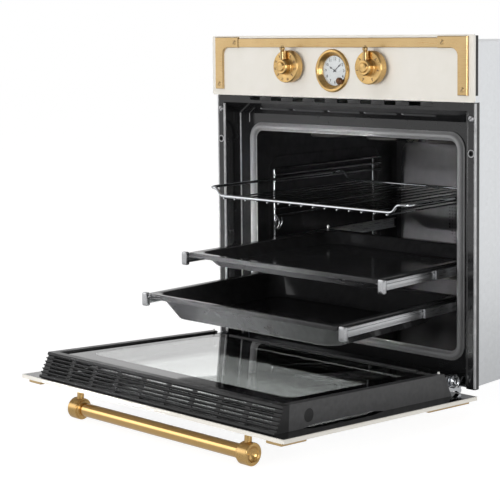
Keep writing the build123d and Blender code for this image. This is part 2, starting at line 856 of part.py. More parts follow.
# Clock bezel: turned ring with a conical throat, notched where the setting stem passes.
dial_face = fascia_front + clock_dial_depth
stem_x = clock_knob_offset * cos(radians(clock_knob_angle))
stem_height = clock_height + clock_knob_offset * sin(radians(clock_knob_angle))
with BuildPart() as clock_bezel:
    with BuildSketch(knob_plane(0, clock_height)):
        with BuildLine():
            Polyline((bezel_lip_radius, fascia_front - bezel_stand),
                     (bezel_radius - bezel_edge, fascia_front - bezel_stand),
                     (bezel_radius, fascia_front - bezel_stand + bezel_edge),
                     (bezel_radius, fascia_front), (bezel_body_radius, fascia_front),
                     (bezel_body_radius, dial_face), (bezel_throat_radius, dial_face), close=True)
        make_face()
    revolve(axis=Axis((0, 0, clock_height), (0, 1, 0)))
    with BuildSketch(front_plane(fascia_front - bezel_stand)):
        with Locations((stem_x, stem_height)):
            RegularPolygon(clock_stem_radius + hole_gap, 8, major_radius=False)
    extrude(amount=-(bezel_stand + clock_dial_depth), mode=Mode.SUBTRACT)
save(clock_bezel, "clock_bezel")

# Clock dial, drilled for the hands' arbor and for the setting stem.
with BuildPart() as clock_dial:
    with BuildSketch(front_plane(dial_face)):
        with Locations((0, clock_height)):
            Circle(bezel_body_radius)
            RegularPolygon(clock_arbor_radius + hole_gap, 8, mode=Mode.SUBTRACT)
        with Locations((stem_x, stem_height)):
            RegularPolygon(clock_stem_radius + hole_gap, 8, major_radius=False,
                           mode=Mode.SUBTRACT)
    extrude(amount=-clock_dial_thickness)
save(clock_dial, "clock_dial")

# Glass that closes the throat in front of the hands.
with BuildPart() as clock_glass:
    with BuildSketch(front_plane(dial_face - clock_glass_back)):
        with Locations((0, clock_height)):
            Circle(clock_glass_radius)
        with Locations((stem_x, stem_height)):
            RegularPolygon(clock_stem_radius + hole_gap, 8, major_radius=False,
                           mode=Mode.SUBTRACT)
    extrude(amount=clock_glass_thickness)
save(clock_glass, "clock_glass")

# Movement behind the dial, bored for the arbor and the stem.
module_front = dial_face + clock_dial_thickness
with BuildPart() as clock_movement:
    with BuildSketch(front_plane(module_front)):
        with Locations((0, clock_height)):
            RegularPolygon(clock_module_radius, 16)
            Circle(clock_arbor_radius + shaft_fit, mode=Mode.SUBTRACT)
        with Locations((stem_x, stem_height)):
            Circle(clock_stem_radius + shaft_fit, mode=Mode.SUBTRACT)
    extrude(amount=-clock_module_depth)
save(clock_movement, "clock_movement")

# Hands: a hub and a tapered blade each, the minute hand in front of the hour hand.
hour_y = dial_face - 0.3
minute_y = hour_y - hand_thickness - 0.3
for name, y, length, turn in (("clock_hour_hand", hour_y, hour_hand_length, hour_hand_turn),
                              ("clock_minute_hand", minute_y, minute_hand_length,
                               minute_hand_turn)):
    across = (cos(radians(turn)), 0, -sin(radians(turn)))
    with BuildPart() as hand:
        with BuildSketch(Plane(origin=(0, y, clock_height), x_dir=across, z_dir=(0, -1, 0))):
            with BuildLine():
                Polyline((-0.9, 0), (-1.6, length * 0.55), (0, length), (1.6, length * 0.55),
                         (0.9, 0), (0, -hand_tail), close=True)
            make_face()
            RegularPolygon(hand_hub_radius, 12)
            if name == "clock_hour_hand":
                Circle(clock_arbor_radius + shaft_fit, mode=Mode.SUBTRACT)
        extrude(amount=hand_thickness)
        if name == "clock_minute_hand":
            with BuildSketch(Plane(origin=(0, y, clock_height), x_dir=(1, 0, 0),
                                   z_dir=(0, 1, 0))):
                Circle(clock_arbor_radius)
            extrude(amount=clock_arbor_length)
    save(hand, name)

# Setting knob in front of the bezel's lower right edge, on its stem.
with BuildPart() as clock_knob:
    with BuildSketch(knob_plane(stem_x, stem_height)):
        with BuildLine():
            knob_back = fascia_front - bezel_stand - clock_knob_gap
            Polyline((0, knob_back - clock_knob_length),
                     (clock_knob_radius - 1.2, knob_back - clock_knob_length),
                     (clock_knob_radius, knob_back - clock_knob_length + 1.2),
                     (clock_knob_radius, knob_back), (clock_stem_radius, knob_back),
                     (clock_stem_radius, module_front + clock_stem_seat),
                     (0, module_front + clock_stem_seat), close=True)
        make_face()
    revolve(axis=Axis((stem_x, 0, stem_height), (0, 1, 0)))
save(clock_knob, "clock_knob")


def door_point(x, reach, height):
    """Point on the open door: x across, reach from its hinge edge, height above the sheet."""
    return (x, door_edge_y + reach * along[1] + height * rise[1],
            door_edge_z + reach * along[2] + height * rise[2])


# Outer door sheet: shallow tray that is folded round its rim, with the window cut through.
window_mid = (window_near + window_far) / 2
window_length = window_far - window_near
with BuildPart() as door_sheet_part:
    with BuildSketch(door_face.offset(-door_sheet)):
        with Locations((0, door_height / 2)):
            RectangleRounded(front_width, door_height, door_corner)
        with Locations((0, window_mid)):
            RectangleRounded(window_width, window_length, window_corner, mode=Mode.SUBTRACT)
    extrude(amount=door_sheet)
    with BuildSketch(door_face.offset(-door_pane)):
        with Locations((0, door_height / 2)):
            Rectangle(front_width - 2 * door_rim, door_height - 2 * door_rim)
    extrude(amount=door_pane, mode=Mode.SUBTRACT)
save(door_sheet_part, "door_sheet")

# Black-bordered outer pane bedded in the tray.
with BuildPart() as outer_pane:
    with BuildSketch(door_face.offset(-door_pane)):
        with Locations((0, door_height / 2)):
            Rectangle(front_width - 2 * (door_rim + pane_gap), door_height - 2 * (door_rim + pane_gap))
    extrude(amount=door_pane)
save(outer_pane, "outer_pane")

# Side frames: channels open toward the middle, cut on a slant at the hinge end, with a ledge for
# the middle pane and a round seat for the plug.
with BuildPart() as door_side_frames:
    with BuildSketch(door_side.offset(-frame_half)):
        with BuildLine():
            Polyline((side_near_foot, 0), (side_step_near, 0), (side_step_near + side_step_run,
                     side_step), (side_step_far - side_step_run, side_step), (side_step_far, 0),
                     (side_far, 0), (side_far, door_inner_height),
                     (side_near_top, door_inner_height), close=True)
        make_face()
    extrude(amount=side_flange)
    with BuildSketch(door_side.offset(side_wall - frame_half)):
        with BuildLine():
            Polyline((side_near_foot - side_flange, side_step + side_wall),
                     (side_far, side_step + side_wall), (side_far, glass_top),
                     (side_near_top - side_flange, glass_top), close=True)
        make_face()
    extrude(amount=side_flange, mode=Mode.SUBTRACT)
    with BuildSketch(door_side.offset(side_wall - frame_half)):
        with Locations(((side_near_top + side_far) / 2, middle_ledge_top - side_wall / 2)):
            Rectangle(side_far - side_near_top - 2 * ledge_inset, side_wall)
    extrude(amount=side_flange - side_wall)
    with BuildSketch(door_side.offset(-frame_half)):
        with Locations((plug_along, plug_up)):
            Circle(plug_radius)
    extrude(amount=plug_seat, mode=Mode.SUBTRACT)
    mirror(about=Plane.YZ)
save(door_side_frames, "door_side_frames")

# Plugs that cover the frame's assembly screws.
with BuildPart() as door_plugs:
    with BuildSketch(door_side.offset(plug_seat - frame_half)):
        with Locations((plug_along, plug_up)):
            Circle(plug_radius - plug_gap)
    extrude(amount=-plug_seat)
    mirror(about=Plane.YZ)
save(door_plugs, "door_plugs")

# Middle and inner panes.
glass_half = frame_half - side_wall - glass_side_gap
for name, top, thickness, near, far in (
        ("middle_glass", middle_ledge_top + middle_glass_thickness, middle_glass_thickness,
         side_near_top + ledge_inset, side_far - ledge_inset),
        ("inner_glass", glass_top, glass_thickness, base_lip + glass_side_gap,
         side_far - glass_side_gap)):
    with BuildPart() as pane:
        with BuildSketch(door_face.offset(top - thickness)):
            with Locations((0, (near + far) / 2)):
                Rectangle(2 * glass_half, far - near)
        extrude(amount=thickness)
    save(pane, name)

# Base trim: folded strip across the hinge end that hooks over the inner pane's edge.
with BuildPart() as door_base_trim:
    with BuildSketch(door_side):
        with BuildLine():
            Polyline((side_near_foot, 0), (base_lip - base_wall / 2, glass_top),
                     (base_lip, glass_top), (side_near_foot + base_wall, 0), close=True)
        make_face()
    extrude(amount=frame_half - side_flange - trim_gap, both=True)
    with BuildSketch(door_side):
        with BuildLine():
            Polyline((base_lip - base_wall / 2, glass_top), (base_lip - base_wall / 2, base_top),
                     (base_lip + base_hook, base_top), (base_lip + base_hook, glass_top),
                     close=True)
        make_face()
    extrude(amount=mouth_width / 2 - mouth_corner, both=True)
save(door_base_trim, "door_base_trim")

# Vent grille across the handle end: a sloped moulding with straight ribs, hollow behind, and
# slots through the valleys between the ribs.
slope = Vector(grille_top_far - grille_foot_far, door_inner_height)
slope_out = Vector(door_inner_height, grille_foot_far - grille_top_far).normalized()
rib_pitch = slope.length / (grille_ribs + 1)
slope_dir = slope.normalized()


def on_slope(distance, depth):
    """Point of the grille's section: distance up its sloped face and depth below it."""
    point = Vector(grille_foot_far, 0) + slope_dir * distance - slope_out * depth
    return (point.X, point.Y)


hollow_depth = grille_rib_depth + grille_wall
hollow_low = (grille_wall + slope_out.Y * hollow_depth) / slope_dir.Y
hollow_high = hollow_low + (door_inner_height - 2 * grille_wall) / slope_dir.Y
grille_section = [(side_far, 0), (grille_foot_far, 0)]
for rib in range(grille_ribs):
    start = (rib + 0.5) * rib_pitch
    grille_section += [on_slope(start, 0), on_slope(start + rib_pitch * 0.15, grille_rib_depth),
                       on_slope(start + rib_pitch * 0.62, grille_rib_depth),
                       on_slope(start + rib_pitch * 0.78, 0)]
grille_section += [(grille_top_far, door_inner_height), (side_far, door_inner_height)]
with BuildPart() as door_grille:
    with BuildSketch(door_side):
        with BuildLine():
            Polyline(*grille_section, close=True)
        make_face()
    extrude(amount=frame_half, both=True)
    with BuildSketch(door_side):
        with BuildLine():
            Polyline((side_far, grille_wall), on_slope(hollow_low, hollow_depth),
                     on_slope(hollow_high, hollow_depth),
                     (side_far, door_inner_height - grille_wall), close=True)
        make_face()
    extrude(amount=frame_half - grille_wall, both=True, mode=Mode.SUBTRACT)
    slope_mid = on_slope(slope.length / 2, 0)
    normal = Vector(*along) * slope_out.X + Vector(*rise) * slope_out.Y
    slope_plane = Plane(origin=door_point(0, slope_mid[0], slope_mid[1]), x_dir=(1, 0, 0),
                        z_dir=normal)
    with BuildSketch(slope_plane):
        with Locations((0, -rib_pitch * 0.115)):
            with GridLocations(grille_slot_pitch, rib_pitch, grille_slot_columns, grille_ribs):
                Rectangle(grille_slot_width, rib_pitch * grille_slot_share)
    extrude(amount=-(grille_rib_depth + 2 * grille_wall), mode=Mode.SUBTRACT)
save(door_grille, "door_grille")

# Rubber bumpers on the side frames.
with BuildPart() as door_bumpers:
    with BuildSketch(door_face.offset(door_inner_height)):
        with Locations((-bumper_x, bumper_along), (bumper_x, bumper_along)):
            RegularPolygon(bumper_radius, 8)
    extrude(amount=bumper_height, taper=12)
save(door_bumpers, "door_bumpers")

# Four corner angles on the door's outer face: longer limbs at the hinge end.
with BuildPart() as door_brackets:
    edge_x = front_width / 2 - bracket_inset
    near = door_bracket_inset
    far = door_height - door_bracket_inset
    with BuildSketch(door_face.offset(-door_sheet)):
        with BuildLine():
            Polyline((edge_x, near), (edge_x - door_bracket_arm, near),
                     (edge_x - door_bracket_arm, near + door_bracket_band),
                     (edge_x - door_bracket_band, near + door_bracket_band),
                     (edge_x - door_bracket_band, near + door_bracket_near),
                     (edge_x, near + door_bracket_near), close=True)
        make_face()
        with BuildLine():
            Polyline((edge_x, far), (edge_x - door_bracket_arm, far),
                     (edge_x - door_bracket_arm, far - door_bracket_band),
                     (edge_x - door_bracket_band, far - door_bracket_band),
                     (edge_x - door_bracket_band, far - door_bracket_far),
                     (edge_x, far - door_bracket_far), close=True)
        make_face()
    extrude(amount=-door_bracket_thickness)
    mirror(about=Plane.YZ)
save(door_brackets, "door_brackets")

# Handle: a tube between two turned end drums, each on a post to the door sheet. The drum has a
# raised ring at its inner end and a dished outer face.
handle_at = door_point(0, handle_along, -handle_drop)
handle_plane = Plane(origin=handle_at, x_dir=(1, 0, 0), z_dir=along)
handle_axis = Axis(handle_at, (1, 0, 0))
drum_in = handle_spacing / 2 - handle_drum_length / 2
drum_out = handle_spacing / 2 + handle_drum_length / 2
with BuildPart() as handle_bar:
    with BuildSketch(Plane(origin=handle_at, x_dir=along, z_dir=(1, 0, 0))):
        Circle(handle_bar_radius)
    extrude(amount=drum_in, both=True)
save(handle_bar, "handle_bar")

with BuildPart() as handle_ends:
    with BuildSketch(handle_plane):
        with BuildLine():
            Polyline((drum_in, 0), (drum_in, handle_collar_radius),
                     (drum_in + handle_collar, handle_collar_radius),
                     (drum_in + handle_collar, handle_drum_radius),
                     (drum_out - handle_bevel, handle_drum_radius),
                     (drum_out, handle_drum_radius - handle_bevel),
                     (drum_out, handle_drum_radius - handle_rim),
                     (drum_out - handle_dish, 0), close=True)
        make_face()
    revolve(axis=handle_axis)
    with BuildSketch(door_face.offset(-door_sheet)):
        with Locations((-handle_spacing / 2, handle_along)):
            Circle(handle_post_radius)
    extrude(amount=-(handle_drop - door_sheet - handle_drum_radius / 2))
    mirror(about=Plane.YZ)
save(handle_ends, "handle_ends")

# Hinges. The arm stands still: it is hooked into a receiver behind the front frame, comes out
# through a slot in the recess and ends in an eye. The cheeks turn with the door and carry the pin.
pivot = door_point(0, hinge_along, hinge_up)
arm_half = hinge_arm / 2
with BuildPart() as hinge_arms:
    with BuildSketch(Plane.YZ.offset(hinge_x - arm_half)) as arm:
        with BuildLine():
            Polyline((pivot[1], pivot[2] + hinge_eye), (arm_shoulder, arm_top),
                     (arm_back, arm_top), (arm_back, arm_foot), (arm_toe, arm_foot),
                     (pivot[1], pivot[2] - hinge_eye), close=True)
        make_face()
        with Locations((pivot[1], pivot[2])):
            Circle(hinge_eye)
            Circle(hinge_pin + shaft_fit, mode=Mode.SUBTRACT)
    extrude(amount=hinge_arm)
    with BuildSketch(front_plane(plate_back)):
        with Locations((hinge_x, casing_sheet + receiver_height / 2)):
            Rectangle(receiver_width, receiver_height)
    extrude(amount=-receiver_length)
    mirror(about=Plane.YZ)
save(hinge_arms, "hinge_arms")

with BuildPart() as hinge_cheeks:
    inner_face = hinge_x - arm_half - hinge_gap - hinge_cheek
    outer_face = hinge_x + arm_half + hinge_gap
    for x in (inner_face, outer_face):
        with BuildSketch(door_side.offset(-(x + hinge_cheek))):
            with BuildLine():
                Polyline((hinge_along - hinge_eye, hinge_up), (hinge_along, hinge_up + hinge_eye),
                         (cheek_rise, cheek_step), (cheek_shoulder, cheek_top),
                         (cheek_neck, cheek_top),
                         (cheek_far - cheek_block, cheek_low), (cheek_far, cheek_low),
                         (cheek_far, cheek_foot), (cheek_rise, cheek_foot),
                         (hinge_along, hinge_up - hinge_eye), close=True)
            make_face()
            with Locations((hinge_along, hinge_up)):
                Circle(hinge_eye)
        extrude(amount=hinge_cheek)
    with BuildSketch(door_side.offset(-(frame_half - side_wall))):
        with Locations((cheek_far - cheek_block / 2, (cheek_low + cheek_foot) / 2)):
            Rectangle(cheek_block, cheek_low - cheek_foot)
    extrude(amount=frame_half - side_wall - inner_face)
    with BuildSketch(door_side.offset(-(outer_face + hinge_cheek))):
        with Locations((hinge_along, hinge_up)):
            Circle(hinge_pin)
    extrude(amount=outer_face + hinge_cheek - inner_face)
    mirror(about=Plane.YZ)
save(hinge_cheeks, "hinge_cheeks")

# Fan cover: shallow pressing on the back wall with a field of openings before the fan and a row
# of outlets down each side.
with BuildPart() as fan_cover:
    with BuildSketch(front_plane(cavity_rear - cover_depth)):
        with Locations((0, fan_height)):
            RectangleRounded(cover_width, cover_height, cover_corner)
    extrude(amount=-cover_depth)
    offset(amount=-cover_sheet, openings=fan_cover.faces().sort_by(Axis.Y)[-1])
    field = [(column * cover_pitch, fan_height + row * cover_pitch)
             for column in range(-cover_rings, cover_rings + 1)
             for row in range(-cover_rings, cover_rings + 1)
             if column ** 2 + row ** 2 <= cover_rings ** 2 + 1]
    with BuildSketch(front_plane(cavity_rear - cover_depth)):
        with Locations(*field):
            Rectangle(cover_opening, cover_opening)
        with Locations((0, fan_height)):
            with GridLocations(cover_width - 2 * cover_outlet_inset, cover_outlet_pitch, 2,
                               cover_outlets):
                Rectangle(cover_opening, cover_outlet_pitch * 0.7)
    extrude(amount=-2 * cover_sheet, mode=Mode.SUBTRACT)
save(fan_cover, "fan_cover")

# Fan wheel: disc, straight blades, hub and the shaft that runs in the motor.
wheel_back = chamber_back - cavity_sheet - fan_back_gap
with BuildPart() as fan_wheel:
    with BuildSketch(front_plane(wheel_back)):
        with Locations((0, fan_height)):
            RegularPolygon(fan_radius, 2 * fan_blades)
    extrude(amount=fan_sheet)
    with BuildSketch(front_plane(wheel_back)):
        with Locations((0, fan_height)):
            with PolarLocations((fan_radius + fan_hub_radius) / 2 + fan_sheet, fan_blades):
                Rectangle(fan_radius - fan_hub_radius - 6 * fan_sheet, fan_sheet)
            RegularPolygon(fan_hub_radius, 12)
    extrude(amount=fan_thickness)
    with BuildSketch(front_plane(wheel_back)):
        with Locations((0, fan_height)):
            Circle(fan_shaft_radius)
    extrude(amount=-(fan_back_gap + cavity_sheet + motor_length * 0.7))
save(fan_wheel, "fan_wheel")

# Fan motor behind the chamber, bored for the shaft.
with BuildPart() as fan_motor:
    with BuildSketch(front_plane(chamber_back)):
        with Locations((0, fan_height)):
            RegularPolygon(motor_radius, 16)
    extrude(amount=-motor_length)
    with BuildSketch(front_plane(chamber_back)):
        with Locations((0, fan_height)):
            Circle(fan_shaft_radius + shaft_fit)
    extrude(amount=-motor_length * 0.8, mode=Mode.SUBTRACT)
save(fan_motor, "fan_motor")

# Ring element round the fan: an open ring whose leads go back through the chamber.
ring_y = cavity_rear + ring_set_back
ring_x_dir = (element_lead_x / ring_radius, 0, (ring_lead_height - fan_height) / ring_radius)
ring_z_dir = (ring_x_dir[2], 0, -ring_x_dir[0])
ring_turn = 360 - 2 * degrees(asin(element_lead_x / ring_radius))
with BuildPart() as ring_element:
    with BuildSketch(Plane(origin=(0, ring_y, fan_height), x_dir=ring_x_dir, z_dir=ring_z_dir)):
        with Locations((ring_radius, 0)):
            RegularPolygon(element_radius, 6)
    revolve(axis=Axis((0, ring_y, fan_height), (0, 1, 0)), revolution_arc=ring_turn)
    with BuildSketch(front_plane(ring_y)):
        with Locations((-element_lead_x, ring_lead_height), (element_lead_x, ring_lead_height)):
            RegularPolygon(element_radius, 6)
    extrude(amount=-(element_lead_end - ring_y))
    with BuildSketch(front_plane(chamber_back)):
        with Locations((0, ring_lead_height)):
            Rectangle(2 * element_lead_x + wool_window - 2, wool_window - 2)
    extrude(amount=-element_flange)
save(ring_element, "ring_element")

# Grill element under the ceiling: legs that run to and fro, fed from the back wall.
grill_path = [(element_lead_x, element_lead_end), (element_lead_x, grill_rear)]
for leg in range(grill_legs):
    leg_x = grill_half_width * (1 - 2 * leg / (grill_legs - 1))
    rear = grill_rear if leg in (0, grill_legs - 1) else grill_rear - grill_short
    ends = [(leg_x, rear), (leg_x, grill_front)]
    grill_path += ends if leg % 2 == 0 else ends[::-1]
grill_path += [(-element_lead_x, grill_rear), (-element_lead_x, element_lead_end)]
with BuildPart() as grill_element:
    with BuildLine(Plane.XY.offset(grill_height)) as route:
        FilletPolyline(*grill_path, radius=grill_bend)
    with BuildSketch(Plane(origin=(element_lead_x, element_lead_end, grill_height),
                           z_dir=(0, -1, 0))):
        RegularPolygon(element_radius, 6)
    sweep(path=route.line)
    with BuildSketch(front_plane(cavity_rear + cavity_sheet)):
        with Locations((0, grill_height)):
            Rectangle(2 * element_lead_x + wool_window - 2, wool_window - 2)
    extrude(amount=-element_flange)
save(grill_element, "grill_element")

# Lower element under the cavity's floor, in the wool's pocket.
lower_rear = lower_element_centre + lower_element_length / 2
lower_front = lower_element_centre - lower_element_length / 2
lower_half = lower_element_width / 2 - element_radius
lower_z = cavity_bottom - cavity_sheet - element_radius
with BuildPart() as lower_element:
    with BuildLine(Plane.XY.offset(lower_z)) as route:
        FilletPolyline((element_lead_x, element_lead_end), (element_lead_x, lower_rear - grill_bend),
                       (lower_half, lower_rear - grill_bend), (lower_half, lower_front),
                       (-lower_half, lower_front), (-lower_half, lower_rear - grill_bend),
                       (-element_lead_x, lower_rear - grill_bend),
                       (-element_lead_x, element_lead_end), radius=grill_bend)
    with BuildSketch(Plane(origin=(element_lead_x, element_lead_end, lower_z), x_dir=(0, 0, 1),
                           z_dir=(0, -1, 0))):
        RegularPolygon(element_radius, 6)
    sweep(path=route.line)
save(lower_element, "lower_element")

# Lamp: holder with its bulb behind the wall, and the glass dome that closes it.
with BuildPart() as lamp_holder:
    with BuildSketch(front_plane(cavity_rear + cavity_sheet)):
        with Locations((lamp_x, lamp_height)):
            Rectangle(2 * lamp_flange, 2 * lamp_flange)
    extrude(amount=-2)
    with BuildSketch(front_plane(cavity_rear + cavity_sheet)):
        with Locations((lamp_x, lamp_height)):
            RegularPolygon(lamp_radius, 12)
    extrude(amount=-lamp_body_depth)
    with BuildSketch(front_plane(cavity_rear + cavity_sheet)):
        with Locations((lamp_x, lamp_height)):
            RegularPolygon(lamp_radius * 0.4, 8)
    extrude(amount=lamp_lens_depth - 2 * lamp_lens_wall)
save(lamp_holder, "lamp_holder")

with BuildPart() as lamp_lens:
    with BuildSketch(front_plane(cavity_rear)):
        with Locations((lamp_x, lamp_height)):
            RegularPolygon(lamp_flange, 24)
    extrude(amount=lamp_lens_wall)
    with BuildSketch(front_plane(cavity_rear)):
        with Locations((lamp_x, lamp_height)):
            RegularPolygon(lamp_radius, 24)
    extrude(amount=lamp_lens_depth, taper=15)
    with BuildSketch(front_plane(cavity_rear + cavity_sheet)):
        with Locations((lamp_x, lamp_height)):
            RegularPolygon(lamp_radius, 24)
    extrude(amount=cavity_sheet)
    with BuildSketch(front_plane(cavity_rear + cavity_sheet)):
        with Locations((lamp_x, lamp_height)):
            RegularPolygon(lamp_radius - lamp_lens_wall, 24)
    extrude(amount=cavity_sheet + lamp_lens_depth - lamp_lens_wall, taper=14, mode=Mode.SUBTRACT)
save(lamp_lens, "lamp_lens")

# Cooling blower: flat scroll housing with a duct toward the front, an inlet ring in its top and
# the motor over it, on a bracket that spans the casing.
blower_top = blower_foot + blower_height
with BuildPart() as cooling_blower:
    with BuildSketch(Plane.XY.offset(blower_foot)):
        with Locations((0, blower_centre)):
            RegularPolygon(blower_radius, 16)
        with Locations((0, blower_centre - (blower_radius + blower_duct_length) / 2)):
            Rectangle(blower_duct_width, blower_radius + blower_duct_length)
    extrude(amount=blower_height)
    offset(amount=-blower_sheet, openings=cooling_blower.faces().sort_by(Axis.Y)[0])
    with BuildSketch(Plane.XY.offset(blower_top - 2 * blower_sheet)):
        with Locations((0, blower_centre)):
            RegularPolygon(blower_inlet, 16)
            RegularPolygon(blower_motor_radius, 16, mode=Mode.SUBTRACT)
            with PolarLocations((blower_inlet + blower_motor_radius) / 2, 3):
                Rectangle(2 * blower_inlet, 3 * blower_sheet, mode=Mode.SUBTRACT)
    extrude(amount=3 * blower_sheet, mode=Mode.SUBTRACT)
    with BuildSketch(Plane.XY.offset(blower_top)):
        with Locations((0, blower_centre)):
            RegularPolygon(blower_motor_radius, 16)
    extrude(amount=blower_motor_height)
    with BuildSketch(Plane.XY.offset(blower_top - 2 * blower_sheet)):
        with Locations((0, blower_centre)):
            Circle(impeller_shaft_radius + shaft_fit)
    extrude(amount=2 * blower_sheet + blower_motor_height * 0.8, mode=Mode.SUBTRACT)
    with BuildSketch(Plane.XY.offset(blower_foot - blower_sheet)):
        with Locations((0, blower_centre)):
            Rectangle(2 * casing_inner_half, blower_bracket_depth)
    extrude(amount=blower_sheet)
save(cooling_blower, "cooling_blower")

# Impeller: disc, ring of straight blades, top ring and shaft.
impeller_foot = blower_foot + 3 * blower_sheet
with BuildPart() as blower_impeller:
    with BuildSketch(Plane.XY.offset(impeller_foot)):
        with Locations((0, blower_centre)):
            RegularPolygon(impeller_radius, 24)
    extrude(amount=blower_sheet)
    with BuildSketch(Plane.XY.offset(impeller_foot)):
        with Locations((0, blower_centre)):
            with PolarLocations(impeller_radius - impeller_blade / 2 - blower_sheet,
                                impeller_blades):
                Rectangle(impeller_blade, blower_sheet)
    extrude(amount=impeller_height)
    with BuildSketch(Plane.XY.offset(impeller_foot + impeller_height - blower_sheet)):
        with Locations((0, blower_centre)):
            RegularPolygon(impeller_radius, 24)
            RegularPolygon(impeller_radius - impeller_blade, 24, mode=Mode.SUBTRACT)
    extrude(amount=blower_sheet)
    with BuildSketch(Plane.XY.offset(impeller_foot)):
        with Locations((0, blower_centre)):
            Circle(impeller_shaft_radius)
    extrude(amount=blower_top - impeller_foot + blower_motor_height * 0.7)
save(blower_impeller, "blower_impeller")


def rod(start, end, radius):
    """Straight wire of octagonal section between two points, flat where other pieces bear on it."""
    line = Vector(*end) - Vector(*start)
    section = RegularPolygon(radius, 8, major_radius=False, rotation=22.5)
    return extrude(Plane(origin=start, z_dir=line) * section, amount=line.length)


# Side racks: two uprights with studs to the wall, a top and a foot wire, and a pair of wires at
# each level. The pairs of the two rail levels lie in line with the uprights.
rack_wires = []
rack_end = rack_rear + rack_overhang
for y in (rack_front, rack_rear):
    rack_wires.append(rod((upright_x, y, rack_foot), (upright_x, y, rack_top), upright_radius))
    for height in (level_heights[0], level_heights[2]):
        rack_wires.append(rod((upright_x, y, height), (cavity_width / 2, y, height), wire_radius))
rack_wires.append(rod((wire_x, rack_front, rack_top), (wire_x, rack_end, rack_top), wire_radius))
rack_wires.append(rod((upright_x, rack_front, rack_foot), (upright_x, rack_end, rack_foot),
                      wire_radius))
for level, height in enumerate(level_heights):
    x = wire_x if level < 2 else upright_x
    for z in (height - wire_split / 2, height + wire_split / 2):
        rack_wires.append(rod((x, rack_front, z), (x, rack_end, z), wire_radius))
with BuildPart() as side_racks:
    add(rack_wires)
    mirror(about=Plane.YZ)
save(side_racks, "side_racks")

# Telescopic rails on the two lower levels. The fixed member is a channel clipped to the rack, the
# middle member a flat bar inside it, and the slide carries the tray on a lip.
guide_outer = rail_web_x + rail_web / 2
guide_inner = rail_web_x - rail_web / 2
mid_outer = guide_inner - 2 * rail_gap
slide_outer = mid_outer - mid_width - 3 * rail_gap
slide_inner = slide_outer - slide_width
rails = (("upper", level_heights[2], upper_reach, upper_slide_length, upper_travel,
          upper_guide_front, upper_mid_length, upper_mid_gap),
         ("lower", level_heights[3], lower_reach, lower_slide_length, lower_travel,
          lower_guide_front, lower_mid_length, lower_mid_gap))
with BuildPart() as rail_guides:
    for name, height, reach, slide_length, travel, guide_front, mid_length, gap in rails:
        with BuildSketch(front_plane(guide_front)):
            with Locations((rail_web_x, height)):
                Rectangle(rail_web, rail_height)
            for lip in (-1, 1):
                with Locations((guide_inner - guide_lip / 2,
                                height + lip * (rail_height - rail_web) / 2)):
                    Rectangle(guide_lip, rail_web)
        extrude(amount=-(guide_rear - guide_front))
        with BuildSketch(Plane.YZ.offset(guide_outer)):
            with Locations((lower_guide_front + clip_length, height),
                           (rack_rear - clip_length, height)):
                Rectangle(clip_length, wire_split + 2 * wire_radius)
        extrude(amount=upright_x - wire_radius - guide_outer)
    mirror(about=Plane.YZ)
save(rail_guides, "rail_guides")

for name, height, reach, slide_length, travel, guide_front, mid_length, gap in rails:
    mid_front = guide_rear - gap - travel / 2 - mid_length
    with BuildPart() as mids:
        with BuildSketch(front_plane(mid_front)):
            with Locations((mid_outer - mid_width / 2, height)):
                Rectangle(mid_width, mid_height)
        extrude(amount=-mid_length)
        mirror(about=Plane.YZ)
    save(mids, name + "_mids")

    with BuildPart() as slides:
        with BuildSketch(front_plane(-reach + rail_cap_depth)):
            with Locations((slide_outer - slide_width / 2, height)):
                Rectangle(slide_width, slide_height)
            with Locations((slide_inner - slide_lip / 2, height + tray_top_above_rail - tray_skirt
                            - slide_lip_thickness / 2)):
                Rectangle(slide_lip, slide_lip_thickness)
        extrude(amount=-(slide_length - rail_cap_depth))
        with BuildSketch(front_plane(-reach)):
            with Locations((slide_inner + rail_cap_width / 2, height)):
                Rectangle(rail_cap_width, rail_cap_height)
        extrude(amount=-rail_cap_depth)
        with BuildSketch(Plane.XY.offset(height + slide_height / 2)):
            with Locations((slide_inner + slide_width / 2, slide_length - reach - rail_cap_depth)):
                Rectangle(slide_width * 0.8, slide_width * 0.8)
        extrude(amount=tray_skirt)
        mirror(about=Plane.YZ)
    save(slides, name + "_slides")

# Trays: flat rim with a skirt turned down round it, and a basin with sloping walls.
for name, height, front, length, depth, border, flare in (
        ("upper", level_heights[2], upper_tray_front, upper_tray_length, upper_tray_depth,
         upper_tray_border, upper_tray_flare),
        ("lower", level_heights[3], lower_tray_front, lower_tray_length, lower_tray_depth,
         lower_tray_border, lower_tray_flare)):
    top = height + tray_top_above_rail
    centre = (0, front + length / 2)
    basin_width = 2 * (tray_half_width - border)
    basin_length = length - 2 * border
    with BuildPart() as tray:
        for skin, mode in ((0, Mode.ADD), (tray_sheet, Mode.SUBTRACT)):
            with BuildSketch(Plane.XY.offset(top)):
                with Locations(centre):
                    RectangleRounded(basin_width - 2 * skin, basin_length - 2 * skin, tray_corner)
            with BuildSketch(Plane.XY.offset(top - depth + skin)):
                with Locations(centre):
                    RectangleRounded(basin_width - 2 * flare - 2 * skin,
                                     basin_length - 2 * flare - 2 * skin, tray_floor_corner)
            loft(ruled=True, mode=mode)
        with BuildSketch(Plane.XY.offset(top - tray_sheet)):
            with Locations(centre):
                RectangleRounded(2 * tray_half_width, length, tray_rim_corner)
                RectangleRounded(basin_width - tray_sheet, basin_length - tray_sheet, tray_corner,
                                 mode=Mode.SUBTRACT)
        extrude(amount=tray_sheet)
        with BuildSketch(Plane.XY.offset(top - tray_skirt)):
            with Locations(centre):
                RectangleRounded(2 * tray_half_width, length, tray_rim_corner)
                RectangleRounded(2 * (tray_half_width - tray_sheet), length - 2 * tray_sheet,
                                 tray_rim_corner - tray_sheet, mode=Mode.SUBTRACT)
        extrude(amount=tray_skirt)
    save(tray, name + "_tray")

